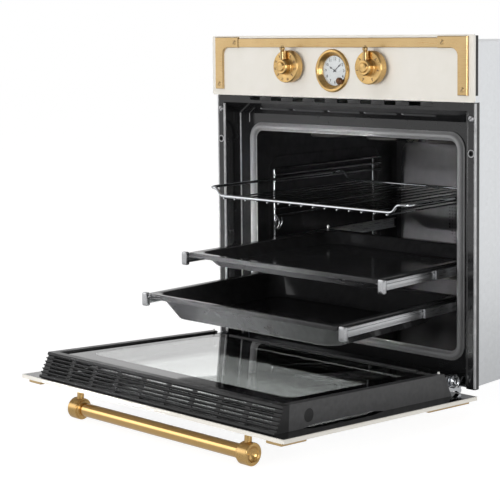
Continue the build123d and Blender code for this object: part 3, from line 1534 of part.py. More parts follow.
# Wire shelf: frame of thick wire whose ends dip below the sides, and thin wires front to back.
shelf_rear = shelf_front + shelf_length
shelf_wires = []
for y, inward in ((shelf_front, 1), (shelf_rear, -1)):
    shelf_wires.append(rod((-shelf_front_half, y, shelf_front_height),
                           (shelf_front_half, y, shelf_front_height), shelf_rod_radius))
    for side in (-1, 1):
        shelf_wires.append(rod((side * shelf_front_half * 0.99, y, shelf_front_height),
                               (side * shelf_half_width, y + inward * shelf_corner_run,
                                shelf_side_height), shelf_rod_radius))
for side in (-1, 1):
    shelf_wires.append(rod((side * shelf_half_width, shelf_front + shelf_corner_run / 2,
                            shelf_side_height),
                           (side * shelf_half_width, shelf_rear - shelf_corner_run / 2,
                            shelf_side_height), shelf_rod_radius))
wire_z = shelf_front_height + shelf_rod_radius + shelf_wire_radius * 0.7
for wire in range(shelf_wire_count):
    x = (wire - (shelf_wire_count - 1) / 2) * shelf_wire_pitch
    shelf_wires.append(rod((x, shelf_front - shelf_rod_radius, wire_z),
                           (x, shelf_rear + shelf_rod_radius, wire_z), shelf_wire_radius))
with BuildPart() as wire_shelf:
    add(shelf_wires)
save(wire_shelf, "wire_shelf")
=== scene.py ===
import bmesh
import bpy
import json
import numpy as np
from math import cos, pi, radians, sin
from mathutils import Matrix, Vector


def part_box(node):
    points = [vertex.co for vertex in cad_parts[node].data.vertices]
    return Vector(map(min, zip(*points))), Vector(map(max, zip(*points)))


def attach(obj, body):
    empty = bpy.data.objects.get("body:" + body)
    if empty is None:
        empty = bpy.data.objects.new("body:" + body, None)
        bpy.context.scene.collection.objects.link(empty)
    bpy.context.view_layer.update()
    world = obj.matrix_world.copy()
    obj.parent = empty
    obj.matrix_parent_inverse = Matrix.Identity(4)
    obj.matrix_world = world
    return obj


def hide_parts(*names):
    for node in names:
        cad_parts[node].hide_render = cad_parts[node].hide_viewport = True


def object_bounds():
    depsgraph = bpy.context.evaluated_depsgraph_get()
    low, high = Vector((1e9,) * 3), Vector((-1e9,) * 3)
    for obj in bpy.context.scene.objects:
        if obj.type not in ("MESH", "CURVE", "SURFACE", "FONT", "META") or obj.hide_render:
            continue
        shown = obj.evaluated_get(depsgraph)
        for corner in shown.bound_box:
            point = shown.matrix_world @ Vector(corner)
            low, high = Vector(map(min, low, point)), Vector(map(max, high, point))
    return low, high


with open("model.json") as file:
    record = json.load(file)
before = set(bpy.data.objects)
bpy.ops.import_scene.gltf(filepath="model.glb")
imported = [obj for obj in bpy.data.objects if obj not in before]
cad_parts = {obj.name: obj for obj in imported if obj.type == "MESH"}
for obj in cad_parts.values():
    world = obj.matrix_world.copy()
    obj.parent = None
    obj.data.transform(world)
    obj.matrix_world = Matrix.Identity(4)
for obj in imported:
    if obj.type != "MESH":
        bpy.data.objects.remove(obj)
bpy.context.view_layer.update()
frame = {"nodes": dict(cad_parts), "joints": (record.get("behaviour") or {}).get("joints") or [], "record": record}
MM = 0.001
X, Y, Z = (1, 0, 0), (0, 1, 0), (0, 0, 1)

# Places in millimetres, read from the frame to a tenth of a millimetre.

def corners(node):
    """Lowest and highest corner of a node."""
    return [np.round(np.array(corner) / MM, 1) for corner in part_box(node)]


axes = {joint["name"]: np.round(np.array(joint["pos_m"]) / MM, 1)
        for joint in frame["joints"] if joint["type"] == "hinge"}
knob_places = {"left": axes["selector_turn"], "right": axes["thermostat_turn"]}
clock_place = axes["minute_hand_turn"]
cover_middle = axes["fan_turn"] * Z
fixing = next(mount for mount in frame["record"]["mounts"] if mount["name"] == "frame_fixings")
fixing_places = [np.round(np.array(fixing["pos_m"]) / MM, 1)
                 + (side * fixing["dims"]["spacing_x_mm"] / 2, 0, 0) for side in (-1, 1)]
tray_rears = {level: corners(level + "_tray")[1][1] for level in ("upper", "lower")}
slide_cap = 12
rail_heights = {level: corners(level + "_slides")[0][2] + slide_cap for level in tray_rears}

# The open door: door_along runs from the hinge edge to the handle, door_rise is square to the
# sheet.

tilt = radians(3.83)
door_along = np.array([0, -cos(tilt), sin(tilt)])
door_rise = np.array([0, sin(tilt), cos(tilt)])
door_edge = np.array([0, -6.83, -9.22])


def on_door(x, reach, height):
    """Point over the door's sheet."""
    return np.array([x, 0, 0]) + door_edge + door_along * reach + door_rise * height


handle_place = on_door(0, 440, -45.2)


# Surfaces. Points are in millimetres in the oven's frame until piece() puts them in a mesh.

def unit(v):
    """Vectors divided by their lengths."""
    v = np.asarray(v, float)
    return v / np.linalg.norm(v, axis=-1, keepdims=True)


def softened(line, reach, steps):
    """Line with each inner corner cut to a parabola: q(t) = (1-t)^2 (p + a d) +
    2t(1-t) p + t^2 (p + b d), where a and b point to the neighbours and d is the reach, held
    to 0.48 of the shorter side."""
    p = np.asarray(line, float)
    before, after = p[:-2] - p[1:-1], p[2:] - p[1:-1]
    short = np.minimum(np.linalg.norm(before, axis=1), np.linalg.norm(after, axis=1))
    d = np.minimum(np.broadcast_to(reach, short.shape), 0.48 * short)[:, None, None]
    t = np.linspace(0, 1, steps)[None, :, None]
    middle = p[1:-1, None, :]
    a, b = unit(before)[:, None, :], unit(after)[:, None, :]
    bend = (1 - t) ** 2 * (middle + a * d) + 2 * t * (1 - t) * middle + t ** 2 * (middle + b * d)
    return np.vstack([p[:1], bend.reshape(-1, p.shape[1]), p[-1:]])


def turned(profile, centre, axis, steps):
    """Profile of (radius, distance) rows turned round an axis: P = c + r (cos u A + sin u B) +
    s W, where A and B stand square to the axis W."""
    profile = np.asarray(profile, float)
    w = unit(axis)
    a = unit(np.cross(Z if abs(w[2]) < 0.9 else X, w))
    b = np.cross(w, a)
    u = np.linspace(0, 2 * pi, steps, endpoint=False)
    ring = np.cos(u)[:, None] * a + np.sin(u)[:, None] * b
    points = np.asarray(centre, float) + profile[:, :1, None] * ring + profile[:, 1:, None] * w
    return points, False, True


def turned_ring(profile, centre, axis, steps):
    """Profile that ends where it starts, turned to a ring that closes on itself."""
    return turned(profile[:-1], centre, axis, steps)[0], True, True


def wire(path, radius, up=(0.13, 0.27, 0.95), sides=10):
    """Circle carried along a path: P = p(s) + r (cos u N + sin u B), N = T x up, B = N x T. The
    ends close in three small steps to a point, as a cropped and rounded wire end."""
    path = np.asarray(path, float)
    tangent = unit(np.gradient(path, axis=0))
    n = unit(np.cross(tangent, up))
    b = np.cross(n, tangent)
    grow = np.array([0, 0.6, 0.92, 1.0])
    back = np.array([0, 0, 0.12, 0.35])[:, None] * radius
    head = path[0] + tangent[0] * back
    tail = path[-1] - tangent[-1] * back
    line = np.vstack([head, path[1:-1], tail[::-1]])
    n = np.vstack([np.tile(n[0], (4, 1)), n[1:-1], np.tile(n[-1], (4, 1))])
    b = np.vstack([np.tile(b[0], (4, 1)), b[1:-1], np.tile(b[-1], (4, 1))])
    r = np.concatenate([grow, np.ones(len(path) - 2), grow[::-1]]) * radius
    u = np.linspace(0, 2 * pi, sides, endpoint=False)[None, :, None]
    points = line[:, None] + r[:, None, None] * (np.cos(u) * n[:, None] + np.sin(u) * b[:, None])
    return points, False, True


def corner_loop(half_u, half_v, corner, steps):
    """Rounded rectangle, one row per size: (su (hu - r) + r cos a, sv (hv - r) + r sin a), a
    going round a quarter at each corner."""
    hu, hv, r = (np.atleast_1d(np.asarray(x, float)) for x in (half_u, half_v, corner))
    quarter = np.linspace(0, pi / 2, steps)
    a = np.concatenate([quarter + k * pi / 2 for k in range(4)])
    su = np.repeat([1, -1, -1, 1], steps)
    sv = np.repeat([1, 1, -1, -1], steps)
    u = su * (hu - r)[:, None] + r[:, None] * np.cos(a)
    v = sv * (hv - r)[:, None] + r[:, None] * np.sin(a)
    return u, v


def laid(u, v, h, centre, u_axis, v_axis):
    """Loops of (u, v) laid out in space, each at its own height: P = c + u U + v V + h U x V."""
    U, V = np.asarray(u_axis, float), np.asarray(v_axis, float)
    return (np.asarray(centre, float) + u[..., None] * U + v[..., None] * V
            + h[:, None, None] * np.cross(U, V))


def stacked(levels, half_u, half_v, centre, u_axis, v_axis, steps):
    """Rounded rectangles stacked along U x V: each level (inset, height, corner radius) gives
    one loop. The first and last levels shrink to a short line in the middle."""
    levels = np.asarray(levels, float)
    inset, height, corner = levels.T
    short = min(half_u, half_v)
    hu, hv = half_u - inset, half_v - inset
    r = np.minimum(corner, np.minimum(hu, hv) - 1e-6)
    u, v = corner_loop(hu, hv, np.maximum(r, 1e-7), steps)
    core_u, core_v = max(half_u - short, 0), max(half_v - short, 0)
    cu, cv = corner_loop([core_u + 1e-7], [core_v + 1e-7], [1e-8], steps)
    u, v = np.vstack([cu, u, cu]), np.vstack([cv, v, cv])
    h = np.concatenate([height[:1], height, height[-1:]])
    return laid(u, v, h, centre, u_axis, v_axis), False, True


def block(low, high, edge, along):
    """Bar or plate with eased edges, as stacked rounded rectangles between two corners."""
    low, high = np.asarray(low, float), np.asarray(high, float)
    axis = "xyz".index(along)
    U, V = np.eye(3)[(axis + 1) % 3], np.eye(3)[(axis + 2) % 3]
    half = (high - low) / 2
    hu, hv, hw = half[(axis + 1) % 3], half[(axis + 2) % 3], half[axis]
    e = min(edge, 0.48 * min(hu, hv, hw))
    levels = [(e, -hw, e * 0.6), (e * 0.3, -hw + e * 0.3, e), (0, -hw + e, e * 1.2),
              (0, hw - e, e * 1.2), (e * 0.3, hw - e * 0.3, e), (e, hw, e * 0.6)]
    return stacked(levels, hu, hv, (low + high) / 2, U, V, 4)


def hoop(profile, half_u, half_v, corner, centre, u_axis, v_axis, steps):
    """Section carried round a rounded rectangle, as a closed ring: each row (outward, lift)
    widens the rectangle and its corners by outward and stands at lift along U x V."""
    profile = np.asarray(profile, float)
    u, v = corner_loop(half_u + profile[:, 0], half_v + profile[:, 0],
                       np.maximum(corner + profile[:, 0], 0.05), steps)
    return laid(u, v, profile[:, 1], centre, u_axis, v_axis), True, True


def plate(outline, levels, core, centre, u_axis, v_axis):
    """Flat plate with an outline of (u, v) corners: each level (inset, height) moves every corner
    along p + d (n1 + n2) / (1 + n1 . n2), n1 and n2 being the inward normals of its two sides.
    Both faces close in the core, a point that sees the whole outline."""
    p = np.asarray(outline, float)
    run = unit(np.roll(p, -1, axis=0) - p)
    normal = np.stack([-run[:, 1], run[:, 0]], axis=1)
    before = np.roll(normal, 1, axis=0)
    miter = (normal + before) / (1 + (normal * before).sum(axis=1, keepdims=True))
    levels = np.asarray(levels, float)
    rings = p + levels[:, :1, None] * miter
    tip = 0 * p[None] + np.asarray(core, float)
    rings = np.concatenate([tip, rings, tip])
    h = np.concatenate([levels[:1, 1], levels[:, 1], levels[-1:, 1]])
    return laid(rings[..., 0], rings[..., 1], h, centre, u_axis, v_axis), False, True


def piece(name, sheets, material, body, replaces=(), sharp=32):
    """Joins sheets of points into one mesh: each cell of a grid is a quad, a wrapped direction
    closes on itself, and rows that meet in a point are merged. Faces are turned outward."""
    points, faces, start = [], [], 0
    for grid, wrap_rows, wrap_columns in sheets:
        rows, columns = grid.shape[:2]
        index = np.arange(rows * columns).reshape(rows, columns) + start
        index = np.vstack([index, index[:1]]) if wrap_rows else index
        index = np.hstack([index, index[:, :1]]) if wrap_columns else index
        faces.append(np.stack([index[:-1, :-1], index[:-1, 1:], index[1:, 1:], index[1:, :-1]],
                              axis=-1).reshape(-1, 4))
        points.append(grid.reshape(-1, 3))
        start += rows * columns
    mesh = bpy.data.meshes.new(name)
    mesh.from_pydata(np.vstack(points) * MM, [], np.vstack(faces))
    work = bmesh.new()
    work.from_mesh(mesh)
    bmesh.ops.remove_doubles(work, verts=work.verts, dist=2e-6)
    bmesh.ops.dissolve_degenerate(work, edges=work.edges, dist=1e-7)
    bmesh.ops.recalc_face_normals(work, faces=work.faces)
    work.to_mesh(mesh)
    work.free()
    mesh.shade_smooth()
    mesh.set_sharp_from_angle(angle=radians(sharp))
    mesh.materials.append(material)
    made = bpy.data.objects.new(name, mesh)
    bpy.context.scene.collection.objects.link(made)
    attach(made, body)
    if replaces:
        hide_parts(*replaces)


# Finishes.

def tone(red, green, blue):
    """Screen colour of 0 to 255 as the linear colour a shader wants."""
    c = np.array([red, green, blue]) / 255
    return (*np.where(c <= 0.04045, c / 12.92, ((c + 0.055) / 1.055) ** 2.4).tolist(), 1.0)


def blank(name, metallic=0.0, ior=1.5, coat=0.0, coat_roughness=0.05, transmission=0.0,
          sheen=0.0):
    """New material with one Principled shader. Returns material, tree and shader."""
    material = bpy.data.materials.new(name)
    material.use_nodes = True
    tree = material.node_tree
    tree.nodes.clear()
    shader = tree.nodes.new("ShaderNodeBsdfPrincipled")
    out = tree.nodes.new("ShaderNodeOutputMaterial")
    tree.links.new(shader.outputs[0], out.inputs["Surface"])
    shader.inputs["Metallic"].default_value = metallic
    shader.inputs["IOR"].default_value = ior
    shader.inputs["Coat Weight"].default_value = coat
    shader.inputs["Coat Roughness"].default_value = coat_roughness
    shader.inputs["Transmission Weight"].default_value = transmission
    shader.inputs["Sheen Weight"].default_value = sheen
    return material, tree, shader


def grain(tree, scale, stretch=(1, 1, 1), detail=3.0, kind="noise", centre=None):
    """Pattern on the object's own coordinates, stretched along an axis. With a centre the
    pattern runs in rings round the y axis there, as a lathe leaves them."""
    place = tree.nodes.new("ShaderNodeTexCoord").outputs["Object"]
    mapping = tree.nodes.new("ShaderNodeMapping")
    mapping.inputs["Scale"].default_value = stretch
    tree.links.new(place, mapping.inputs["Vector"])
    source = mapping.outputs[0]
    if centre is not None:
        mapping.inputs["Location"].default_value = (-centre[0] * MM, 0, -centre[2] * MM)
        mapping.inputs["Scale"].default_value = (1, 0, 1)
        length = tree.nodes.new("ShaderNodeVectorMath")
        length.operation = "LENGTH"
        tree.links.new(source, length.inputs[0])
        source = length.outputs["Value"]
    if kind == "cells":
        node = tree.nodes.new("ShaderNodeTexVoronoi")
        node.inputs["Scale"].default_value = scale
        result = node.outputs["Color"]
    else:
        node = tree.nodes.new("ShaderNodeTexNoise")
        node.inputs["Scale"].default_value = scale
        node.inputs["Detail"].default_value = detail
        result = node.outputs["Fac"]
    tree.links.new(source, node.inputs["Vector"])
    return result


def colour_by(tree, shader, pattern, low, high, at=(0.35, 0.65)):
    """Colour that goes from low to high with the pattern."""
    ramp = tree.nodes.new("ShaderNodeValToRGB")
    ramp.color_ramp.elements[0].position, ramp.color_ramp.elements[1].position = at
    ramp.color_ramp.elements[0].color, ramp.color_ramp.elements[1].color = low, high
    tree.links.new(pattern, ramp.inputs["Fac"])
    tree.links.new(ramp.outputs["Color"], shader.inputs["Base Color"])


def gloss_by(tree, shader, pattern, low, high):
    """Roughness that goes from low to high with the pattern."""
    spread = tree.nodes.new("ShaderNodeMapRange")
    spread.inputs["From Min"].default_value, spread.inputs["From Max"].default_value = 0.3, 0.7
    spread.inputs["To Min"].default_value, spread.inputs["To Max"].default_value = low, high
    tree.links.new(pattern, spread.inputs["Value"])
    tree.links.new(spread.outputs[0], shader.inputs["Roughness"])


def relief(tree, shader, pattern, strength, depth):
    """Bump of a given depth in millimetres from the pattern."""
    bump = tree.nodes.new("ShaderNodeBump")
    bump.inputs["Strength"].default_value = strength
    bump.inputs["Distance"].default_value = depth * MM
    tree.links.new(pattern, bump.inputs["Height"])
    tree.links.new(bump.outputs[0], shader.inputs["Normal"])


def coated(name, low, high, rough, scale=60, wave=0.02, metallic=0.0, ior=1.5):
    """Paint or enamel: slight cloudiness in the colour, gloss that varies a little and the faint
    waves of a fired or sprayed coat."""
    material, tree, shader = blank(name, metallic=metallic, ior=ior)
    colour_by(tree, shader, grain(tree, scale, detail=6), low, high)
    gloss_by(tree, shader, grain(tree, scale * 0.4), rough[0], rough[1])
    relief(tree, shader, grain(tree, 220, detail=2), 0.25, wave)
    return material


def along_grooves(tree, shader, grooves, centre, amount):
    """Stretches the highlight square to the grooves: T = W x (p - c) round an axis W through the
    centre, or W itself where the grooves run straight."""
    if centre is None:
        line = tree.nodes.new("ShaderNodeCombineXYZ")
        for socket, value in zip(line.inputs, grooves):
            socket.default_value = value
        run = line.outputs[0]
    else:
        place = tree.nodes.new("ShaderNodeTexCoord").outputs["Object"]
        arm, around = (tree.nodes.new("ShaderNodeVectorMath") for _ in range(2))
        arm.operation, around.operation = "SUBTRACT", "CROSS_PRODUCT"
        arm.inputs[1].default_value = [value * MM for value in centre]
        around.inputs[0].default_value = grooves
        tree.links.new(place, arm.inputs[0])
        tree.links.new(arm.outputs[0], around.inputs[1])
        run = around.outputs[0]
    turn = tree.nodes.new("ShaderNodeVectorTransform")
    turn.vector_type, turn.convert_from, turn.convert_to = "VECTOR", "OBJECT", "WORLD"
    tree.links.new(run, turn.inputs[0])
    tree.links.new(turn.outputs[0], shader.inputs["Tangent"])
    shader.inputs["Anisotropic"].default_value = amount
    shader.inputs["Anisotropic Rotation"].default_value = 0.25


def brushed(name, low, high, rough, stretch, scale=900, depth=0.004, grooves=None, centre=None,
            coat=0.0):
    """Metal with fine scratches and cloudiness over larger spans. With grooves the highlight is
    drawn out, along a straight line or, with a centre, round that axis."""
    material, tree, shader = blank(name, metallic=1.0, coat=coat, coat_roughness=0.12)
    scratch = grain(tree, scale, stretch, detail=2)
    colour_by(tree, shader, grain(tree, 12, detail=4), low, high)
    gloss_by(tree, shader, scratch, rough[0], rough[1])
    relief(tree, shader, scratch, 0.2, depth)
    if grooves is not None:
        along_grooves(tree, shader, grooves, centre, 0.5 if centre is None else 0.9)
    return material


gilt_low, gilt_high = tone(188, 158, 109), tone(200, 171, 124)
gilt_x = brushed("gilt_brushed_across", gilt_low, gilt_high, (0.26, 0.32), (0.02, 1, 1),
                 grooves=X, coat=0.25)
gilt_z = brushed("gilt_brushed_upright", gilt_low, gilt_high, (0.26, 0.32), (1, 1, 0.02),
                 coat=0.25)
deep_low, deep_high = tone(206, 168, 104), tone(217, 180, 118)
gilt_tube = brushed("gilt_polished_tube", deep_low, deep_high, (0.14, 0.18), (0.02, 1, 1), 900,
                    0.001, coat=0.5)
gilt_rings = {
    name: brushed("gilt_turned_" + name, deep_low, deep_high, (0.26, 0.32), (1, 1, 1), 700,
                  0.001, axis, centre, 0.3)
    for name, axis, centre in (("left", Y, knob_places["left"]),
                               ("right", Y, knob_places["right"]),
                               ("clock", Y, clock_place), ("drums", X, handle_place))}
bronze = brushed("bronze_knob", tone(88, 62, 46), tone(122, 90, 68), (0.2, 0.32), (1, 1, 1))
cream = coated("cream_enamel", tone(233, 229, 220), tone(236, 232, 224), (0.28, 0.34), 30, 0.002)
# Light grey paint for the black enamel's rolled bends, collars and slot ends: painted highlights.
highlight_bend_paint = coated("enamel_bend_painted_highlight", tone(158, 158, 159), tone(180, 180, 181), (0.2, 0.3), 60,
                     0.002, metallic=0.15)
pin_steel = coated("polished_pin", tone(226, 226, 228), tone(238, 238, 240), (0.12, 0.2), 60,
                   0.002, metallic=0.25)
enamel = coated("black_fired_enamel", tone(29, 29, 30), tone(34, 34, 35), (0.08, 0.12), 60, 0.003)
# The cavity and the fan cover take lighter copies of the black enamel, painted lighter for the light that falls
# into the cavity from the front.
cavity_enamel_painted_lighter = coated("oven_enamel_painted_lighter", tone(47, 47, 48), tone(53, 53, 54), (0.12, 0.17), 60,
                     0.004)
cover_enamel_painted_lighter = coated("cover_satin_enamel_painted_lighter", tone(47, 47, 48), tone(53, 53, 54), (0.36, 0.44), 60,
                      0.004)
dark_frame = coated("dark_powder_coat", tone(57, 57, 58), tone(66, 66, 67), (0.38, 0.5), 140,
                    0.05)
tray_enamel = coated("tray_fired_enamel", tone(38, 38, 39), tone(44, 44, 45), (0.1, 0.15), 60,
                     0.003, ior=1.36)
satin_black = coated("satin_black_plastic", tone(19, 19, 20), tone(25, 25, 26), (0.3, 0.42), 90,
                     0.03, ior=1.38)
black_paint = coated("black_paint", tone(16, 16, 17), tone(21, 21, 22), (0.25, 0.35), 90, 0.02)
printed_black = coated("black_ceramic_print", tone(9, 9, 10), tone(12, 12, 13), (0.04, 0.07), 60,
                       0.002)
pale_plastic = coated("pale_plastic", tone(212, 208, 196), tone(224, 221, 210), (0.4, 0.5), 60,
                      0.02)
white_rubber = coated("white_rubber", tone(222, 222, 218), tone(234, 234, 231), (0.5, 0.62), 120,
                      0.03)
mark_paint = coated("mark_paint", tone(74, 44, 30), tone(90, 54, 38), (0.4, 0.5), 200, 0.01)
numeral_paint = coated("numeral_paint", tone(34, 34, 40), tone(48, 48, 56), (0.35, 0.45), 300,
                       0.005)
chrome = brushed("chromed_wire", tone(190, 192, 196), tone(206, 208, 211), (0.08, 0.16),
                 (1, 1, 1), 300, 0.01)
plated = brushed("bright_zinc_plate", tone(176, 178, 182), tone(198, 200, 204), (0.22, 0.36),
                 (1, 1, 1), 400, 0.03)
dull_steel = brushed("dull_screw_steel", tone(152, 152, 154), tone(170, 170, 172), (0.34, 0.46),
                     (1, 1, 1), 500, 0.02)
satin_steel = brushed("satin_rail_steel", tone(172, 173, 175), tone(190, 191, 193),
                      (0.24, 0.36), (1, 0.02, 1), 900, 0.02)
sheath = brushed("heater_sheath", tone(66, 64, 63), tone(92, 90, 88), (0.35, 0.5), (1, 1, 1), 300,
                 0.05)

zinc, tree, shader = blank("galvanised_sheet", metallic=1.0)
spangle = grain(tree, 160, kind="cells")
colour_by(tree, shader, spangle, tone(216, 218, 220), tone(222, 224, 226), (0.1, 0.9))
gloss_by(tree, shader, spangle, 0.4, 0.44)
relief(tree, shader, grain(tree, 400), 0.1, 0.002)

wool, tree, shader = blank("mineral_wool", sheen=0.2)
colour_by(tree, shader, grain(tree, 400, (0.2, 0.2, 1), 5), tone(176, 164, 120),
          tone(214, 204, 166))
gloss_by(tree, shader, grain(tree, 60), 0.8, 0.95)
relief(tree, shader, grain(tree, 300, (0.2, 0.2, 1), 5), 0.9, 1.2)

silver, tree, shader = blank("silvered_dial", metallic=0.6)
colour_by(tree, shader, grain(tree, 700, centre=clock_place), tone(212, 212, 214),
          tone(228, 228, 230))
gloss_by(tree, shader, grain(tree, 500, centre=clock_place), 0.34, 0.46)
relief(tree, shader, grain(tree, 1200, centre=clock_place), 0.3, 0.01)

clear, tree, shader = blank("clear_float_glass", transmission=1.0, ior=1.5)
colour_by(tree, shader, grain(tree, 8), tone(247, 249, 248), tone(250, 252, 251))
gloss_by(tree, shader, grain(tree, 5), 0.0, 0.004)

braid, tree, shader = blank("braided_seal", metallic=0.35, sheen=0.3)
weave = tree.nodes.new("ShaderNodeTexWave")
weave.bands_direction = "DIAGONAL"
weave.inputs["Scale"].default_value = 260
weave.inputs["Distortion"].default_value = 2.5
weave.inputs["Detail"].default_value = 2
place = tree.nodes.new("ShaderNodeTexCoord")
tree.links.new(place.outputs["Object"], weave.inputs["Vector"])
colour_by(tree, shader, weave.outputs["Fac"], tone(122, 122, 123), tone(164, 164, 165),
          (0.2, 0.8))
gloss_by(tree, shader, weave.outputs["Fac"], 0.4, 0.55)
relief(tree, shader, weave.outputs["Fac"], 0.5, 0.3)

# The frame's own nodes take the finish of their slot, and a few of them one of their own.

by_slot = {
    "zinc_sheet": zinc, "pale_plastic": pale_plastic, "black_enamel": enamel,
    "plated_steel": plated, "mineral_wool": wool, "seal_fibre": braid, "cream_enamel": cream,
    "dark_frame": dark_frame, "black_plastic": satin_black, "gilt_metal": gilt_x,
    "silver_dial": silver, "clear_glass": clear, "black_glass": clear,
    "black_paint": black_paint, "white_rubber": white_rubber, "element_steel": sheath,
    "chromed_wire": chrome, "tray_enamel": tray_enamel}
by_node = {
    "cavity": cavity_enamel_painted_lighter, "fan_cover": cavity_enamel_painted_lighter, "rail_guides": satin_steel,
    "upper_mids": satin_steel, "lower_mids": satin_steel, "hinge_arms": chrome,
    "hinge_cheeks": chrome, "fan_wheel": sheath}
for name, node in frame["nodes"].items():
    for place in node.material_slots:
        place.material = by_node.get(name, by_slot[place.material.name.split(".")[0]])


# Knobs, their arms and marks.

def spoke(degrees):
    """Direction (sin a, cos a) on the control panel, a from the top and clockwise as seen from
    the front, and the direction square to it."""
    a = radians(degrees)
    return np.array([sin(a), 0, cos(a)]), np.array([cos(a), 0, -sin(a)])


def dial_marks(centre, angles, kind):
    """Small painted bars and rings on a knob's face. Each lies at (x + R sin a, z + R cos a),
    turned to its angle."""
    flat = [(0.3, 0, 0.2), (0, 0.02, 0.3), (0, 0.1, 0.3), (0.2, 0.14, 0.2)]
    face, ring = (0, -41.06, 0), 23.2
    sheets = []
    for number, angle in enumerate(angles):
        out, side = spoke(angle)
        middle = centre + face + out * ring
        if kind == "steps" or number % 3 == 0:
            sheets.append(stacked(flat, 0.6, 2.3, middle, side, out, 3))
            sheets.append(stacked(flat, 1.7, 0.6, middle - out * 2.3, side, out, 3))
        elif number % 3 == 1:
            sheets.append(hoop([(0, 0), (0.8, 0), (0.8, 0.12), (0, 0.12)], 1.5, 1.5, 1.4, middle,
                               side, out, 4))
            sheets.append(stacked(flat, 0.7, 0.7, middle, side, out, 3))
        else:
            sheets.append(stacked(flat, 2.2, 0.6, middle + out * 1.5, side, out, 3))
            sheets.append(stacked(flat, 2.2, 0.6, middle - out * 1.5, side, out, 3))
    return sheets


knob_profile = softened([
    (0, -6), (2.9, -6), (2.9, -24), (26.4, -24), (27.6, -24.4), (29, -26), (29, -39.6),
    (27.8, -41), (16.2, -41), (15.2, -40.4), (14.3, -40.5), (13.5, -42.2), (13.5, -50.6),
    (12.2, -53), (9.3, -53), (8.5, -52.3), (7.75, -52.6), (7.75, -54.2), (6.6, -55),
    (2.2, -55.15), (0, -55.15)], 0.6, 4)
lever_profile = softened([
    (0, 10), (4.5, 10), (4.5, 13.4), (4.2, 14.6), (4.1, 25.4), (3.9, 27), (3.0, 27.8),
    (3.0, 28.8), (4.2, 29.6), (4.9, 31.4), (4.7, 33.2), (3.6, 34.8), (2.5, 35.4), (2.8, 36.4),
    (2.0, 37.6), (0, 37.9)], 0.5, 4)
arm_root = (0, -48, 0)
for side, turns, kind in (("left", np.linspace(36, 324, 10), "signs"),
                          ("right", np.linspace(50, 310, 6), "steps")):
    name, body, centre = "knob_" + side, side + "_knob", knob_places[side]
    piece(name + "_turned", [turned(knob_profile, centre, Y, 96)], gilt_rings[side], body,
          (name,))
    piece(name + "_arm", [turned(lever_profile, centre + arm_root, Z, 40)], gilt_z, body,
          (name + "_lever",))
    piece(name + "_marks", dial_marks(centre, turns, kind), mark_paint, body)


# Clock: bezel, crystal, rings of minutes and numerals, hands and setting knob.

bezel_profile = softened([
    (26.5, -14.4), (33, -14.4), (33, -20), (37.4, -20), (38, -20.8), (38, -22.8), (36.4, -24.6),
    (34.2, -25), (32.6, -24.7), (31.5, -23.4), (30.9, -21.6), (27.6, -18.2), (26.6, -17.2),
    (26.5, -14.4)], 0.8, 4)
piece("clock_bezel_turned", [turned_ring(bezel_profile, clock_place, Y, 96)],
      gilt_rings["clock"], "oven", ("clock_bezel",))

glass_profile = [(0, -17.75), (12, -17.68), (22, -17.48), (26.3, -17.36), (26.45, -17.1),
                 (26.45, -16.6), (22, -16.5), (12, -16.45), (0, -16.4)]
piece("clock_crystal", [turned(glass_profile, clock_place, Y, 64)], clear, "oven",
      ("clock_glass",))

dial_face = clock_place + (0, -14.4, 0)
minute_radius, numeral_radius, numeral_lift = 25.0, 20.4, 0.06
ticks = []
for minute in range(60):
    out, side = spoke(6 * minute)
    half_width, half_length = (0.32, 0.9) if minute % 5 == 0 else (0.14, 0.55)
    ticks.append(stacked([(0.02, 0, 0.05), (0.02, 0.06, 0.05)], half_width, half_length,
                         dial_face + out * minute_radius, side, out, 2))
piece("clock_minute_ring", ticks, numeral_paint, "oven")

numerals = []
for hour in range(1, 13):
    text = bpy.data.curves.new("numeral", "FONT")
    text.body = str(hour)
    text.size, text.extrude, text.offset, text.resolution_u = 7 * MM, 0.04 * MM, 0.2 * MM, 2
    text.align_x, text.align_y = "CENTER", "CENTER"
    holder = bpy.data.objects.new("numeral", text)
    bpy.context.scene.collection.objects.link(holder)
    bpy.context.view_layer.update()
    mesh = bpy.data.meshes.new_from_object(holder.evaluated_get(
        bpy.context.evaluated_depsgraph_get()))
    place = dial_face + (0, -numeral_lift, 0) + spoke(30 * hour)[0] * numeral_radius
    mesh.transform(Matrix.Translation(place * MM) @ Matrix.Rotation(pi / 2, 4, "X"))
    numerals.append(mesh)
    bpy.data.objects.remove(holder)
work = bmesh.new()
for mesh in numerals:
    work.from_mesh(mesh)
bmesh.ops.recalc_face_normals(work, faces=work.faces)
joined = bpy.data.meshes.new("clock_numerals")
work.to_mesh(joined)
work.free()
joined.materials.append(numeral_paint)
numeral_ring = bpy.data.objects.new("clock_numerals", joined)
bpy.context.scene.collection.objects.link(numeral_ring)
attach(numeral_ring, "oven")


def hand(length, width, turn, y):
    """Clock hand: half width w(s) = a boss at the arbor, a thin stem, a bulb at two thirds of
    the length and a pointed tip, laid along the direction of its turn."""
    s = np.array([-4, -3.6, -2.4, 0, 2.4, 4, 0.45 * length, 0.56 * length, 0.66 * length,
                  0.76 * length, 0.86 * length, length])
    w = width * np.array([0.05, 0.9, 1.1, 2.0, 1.1, 0.55, 0.5, 1.3, 1.9, 1.2, 0.5, 0.03])
    out, side = spoke(turn)
    line = clock_place + (0, y, 0) + s[:, None] * out
    edge = side * w[:, None]
    lift = np.array([0, -0.26, 0])
    ring = np.stack([line - edge, line + edge, line + edge * 0.7 + lift, line - edge * 0.7 + lift],
                    axis=1)
    mean = ring.mean(axis=1, keepdims=True)
    ring = np.concatenate([mean[:1] + 0 * ring[:1], ring, mean[-1:] + 0 * ring[-1:]])
    return ring, False, True


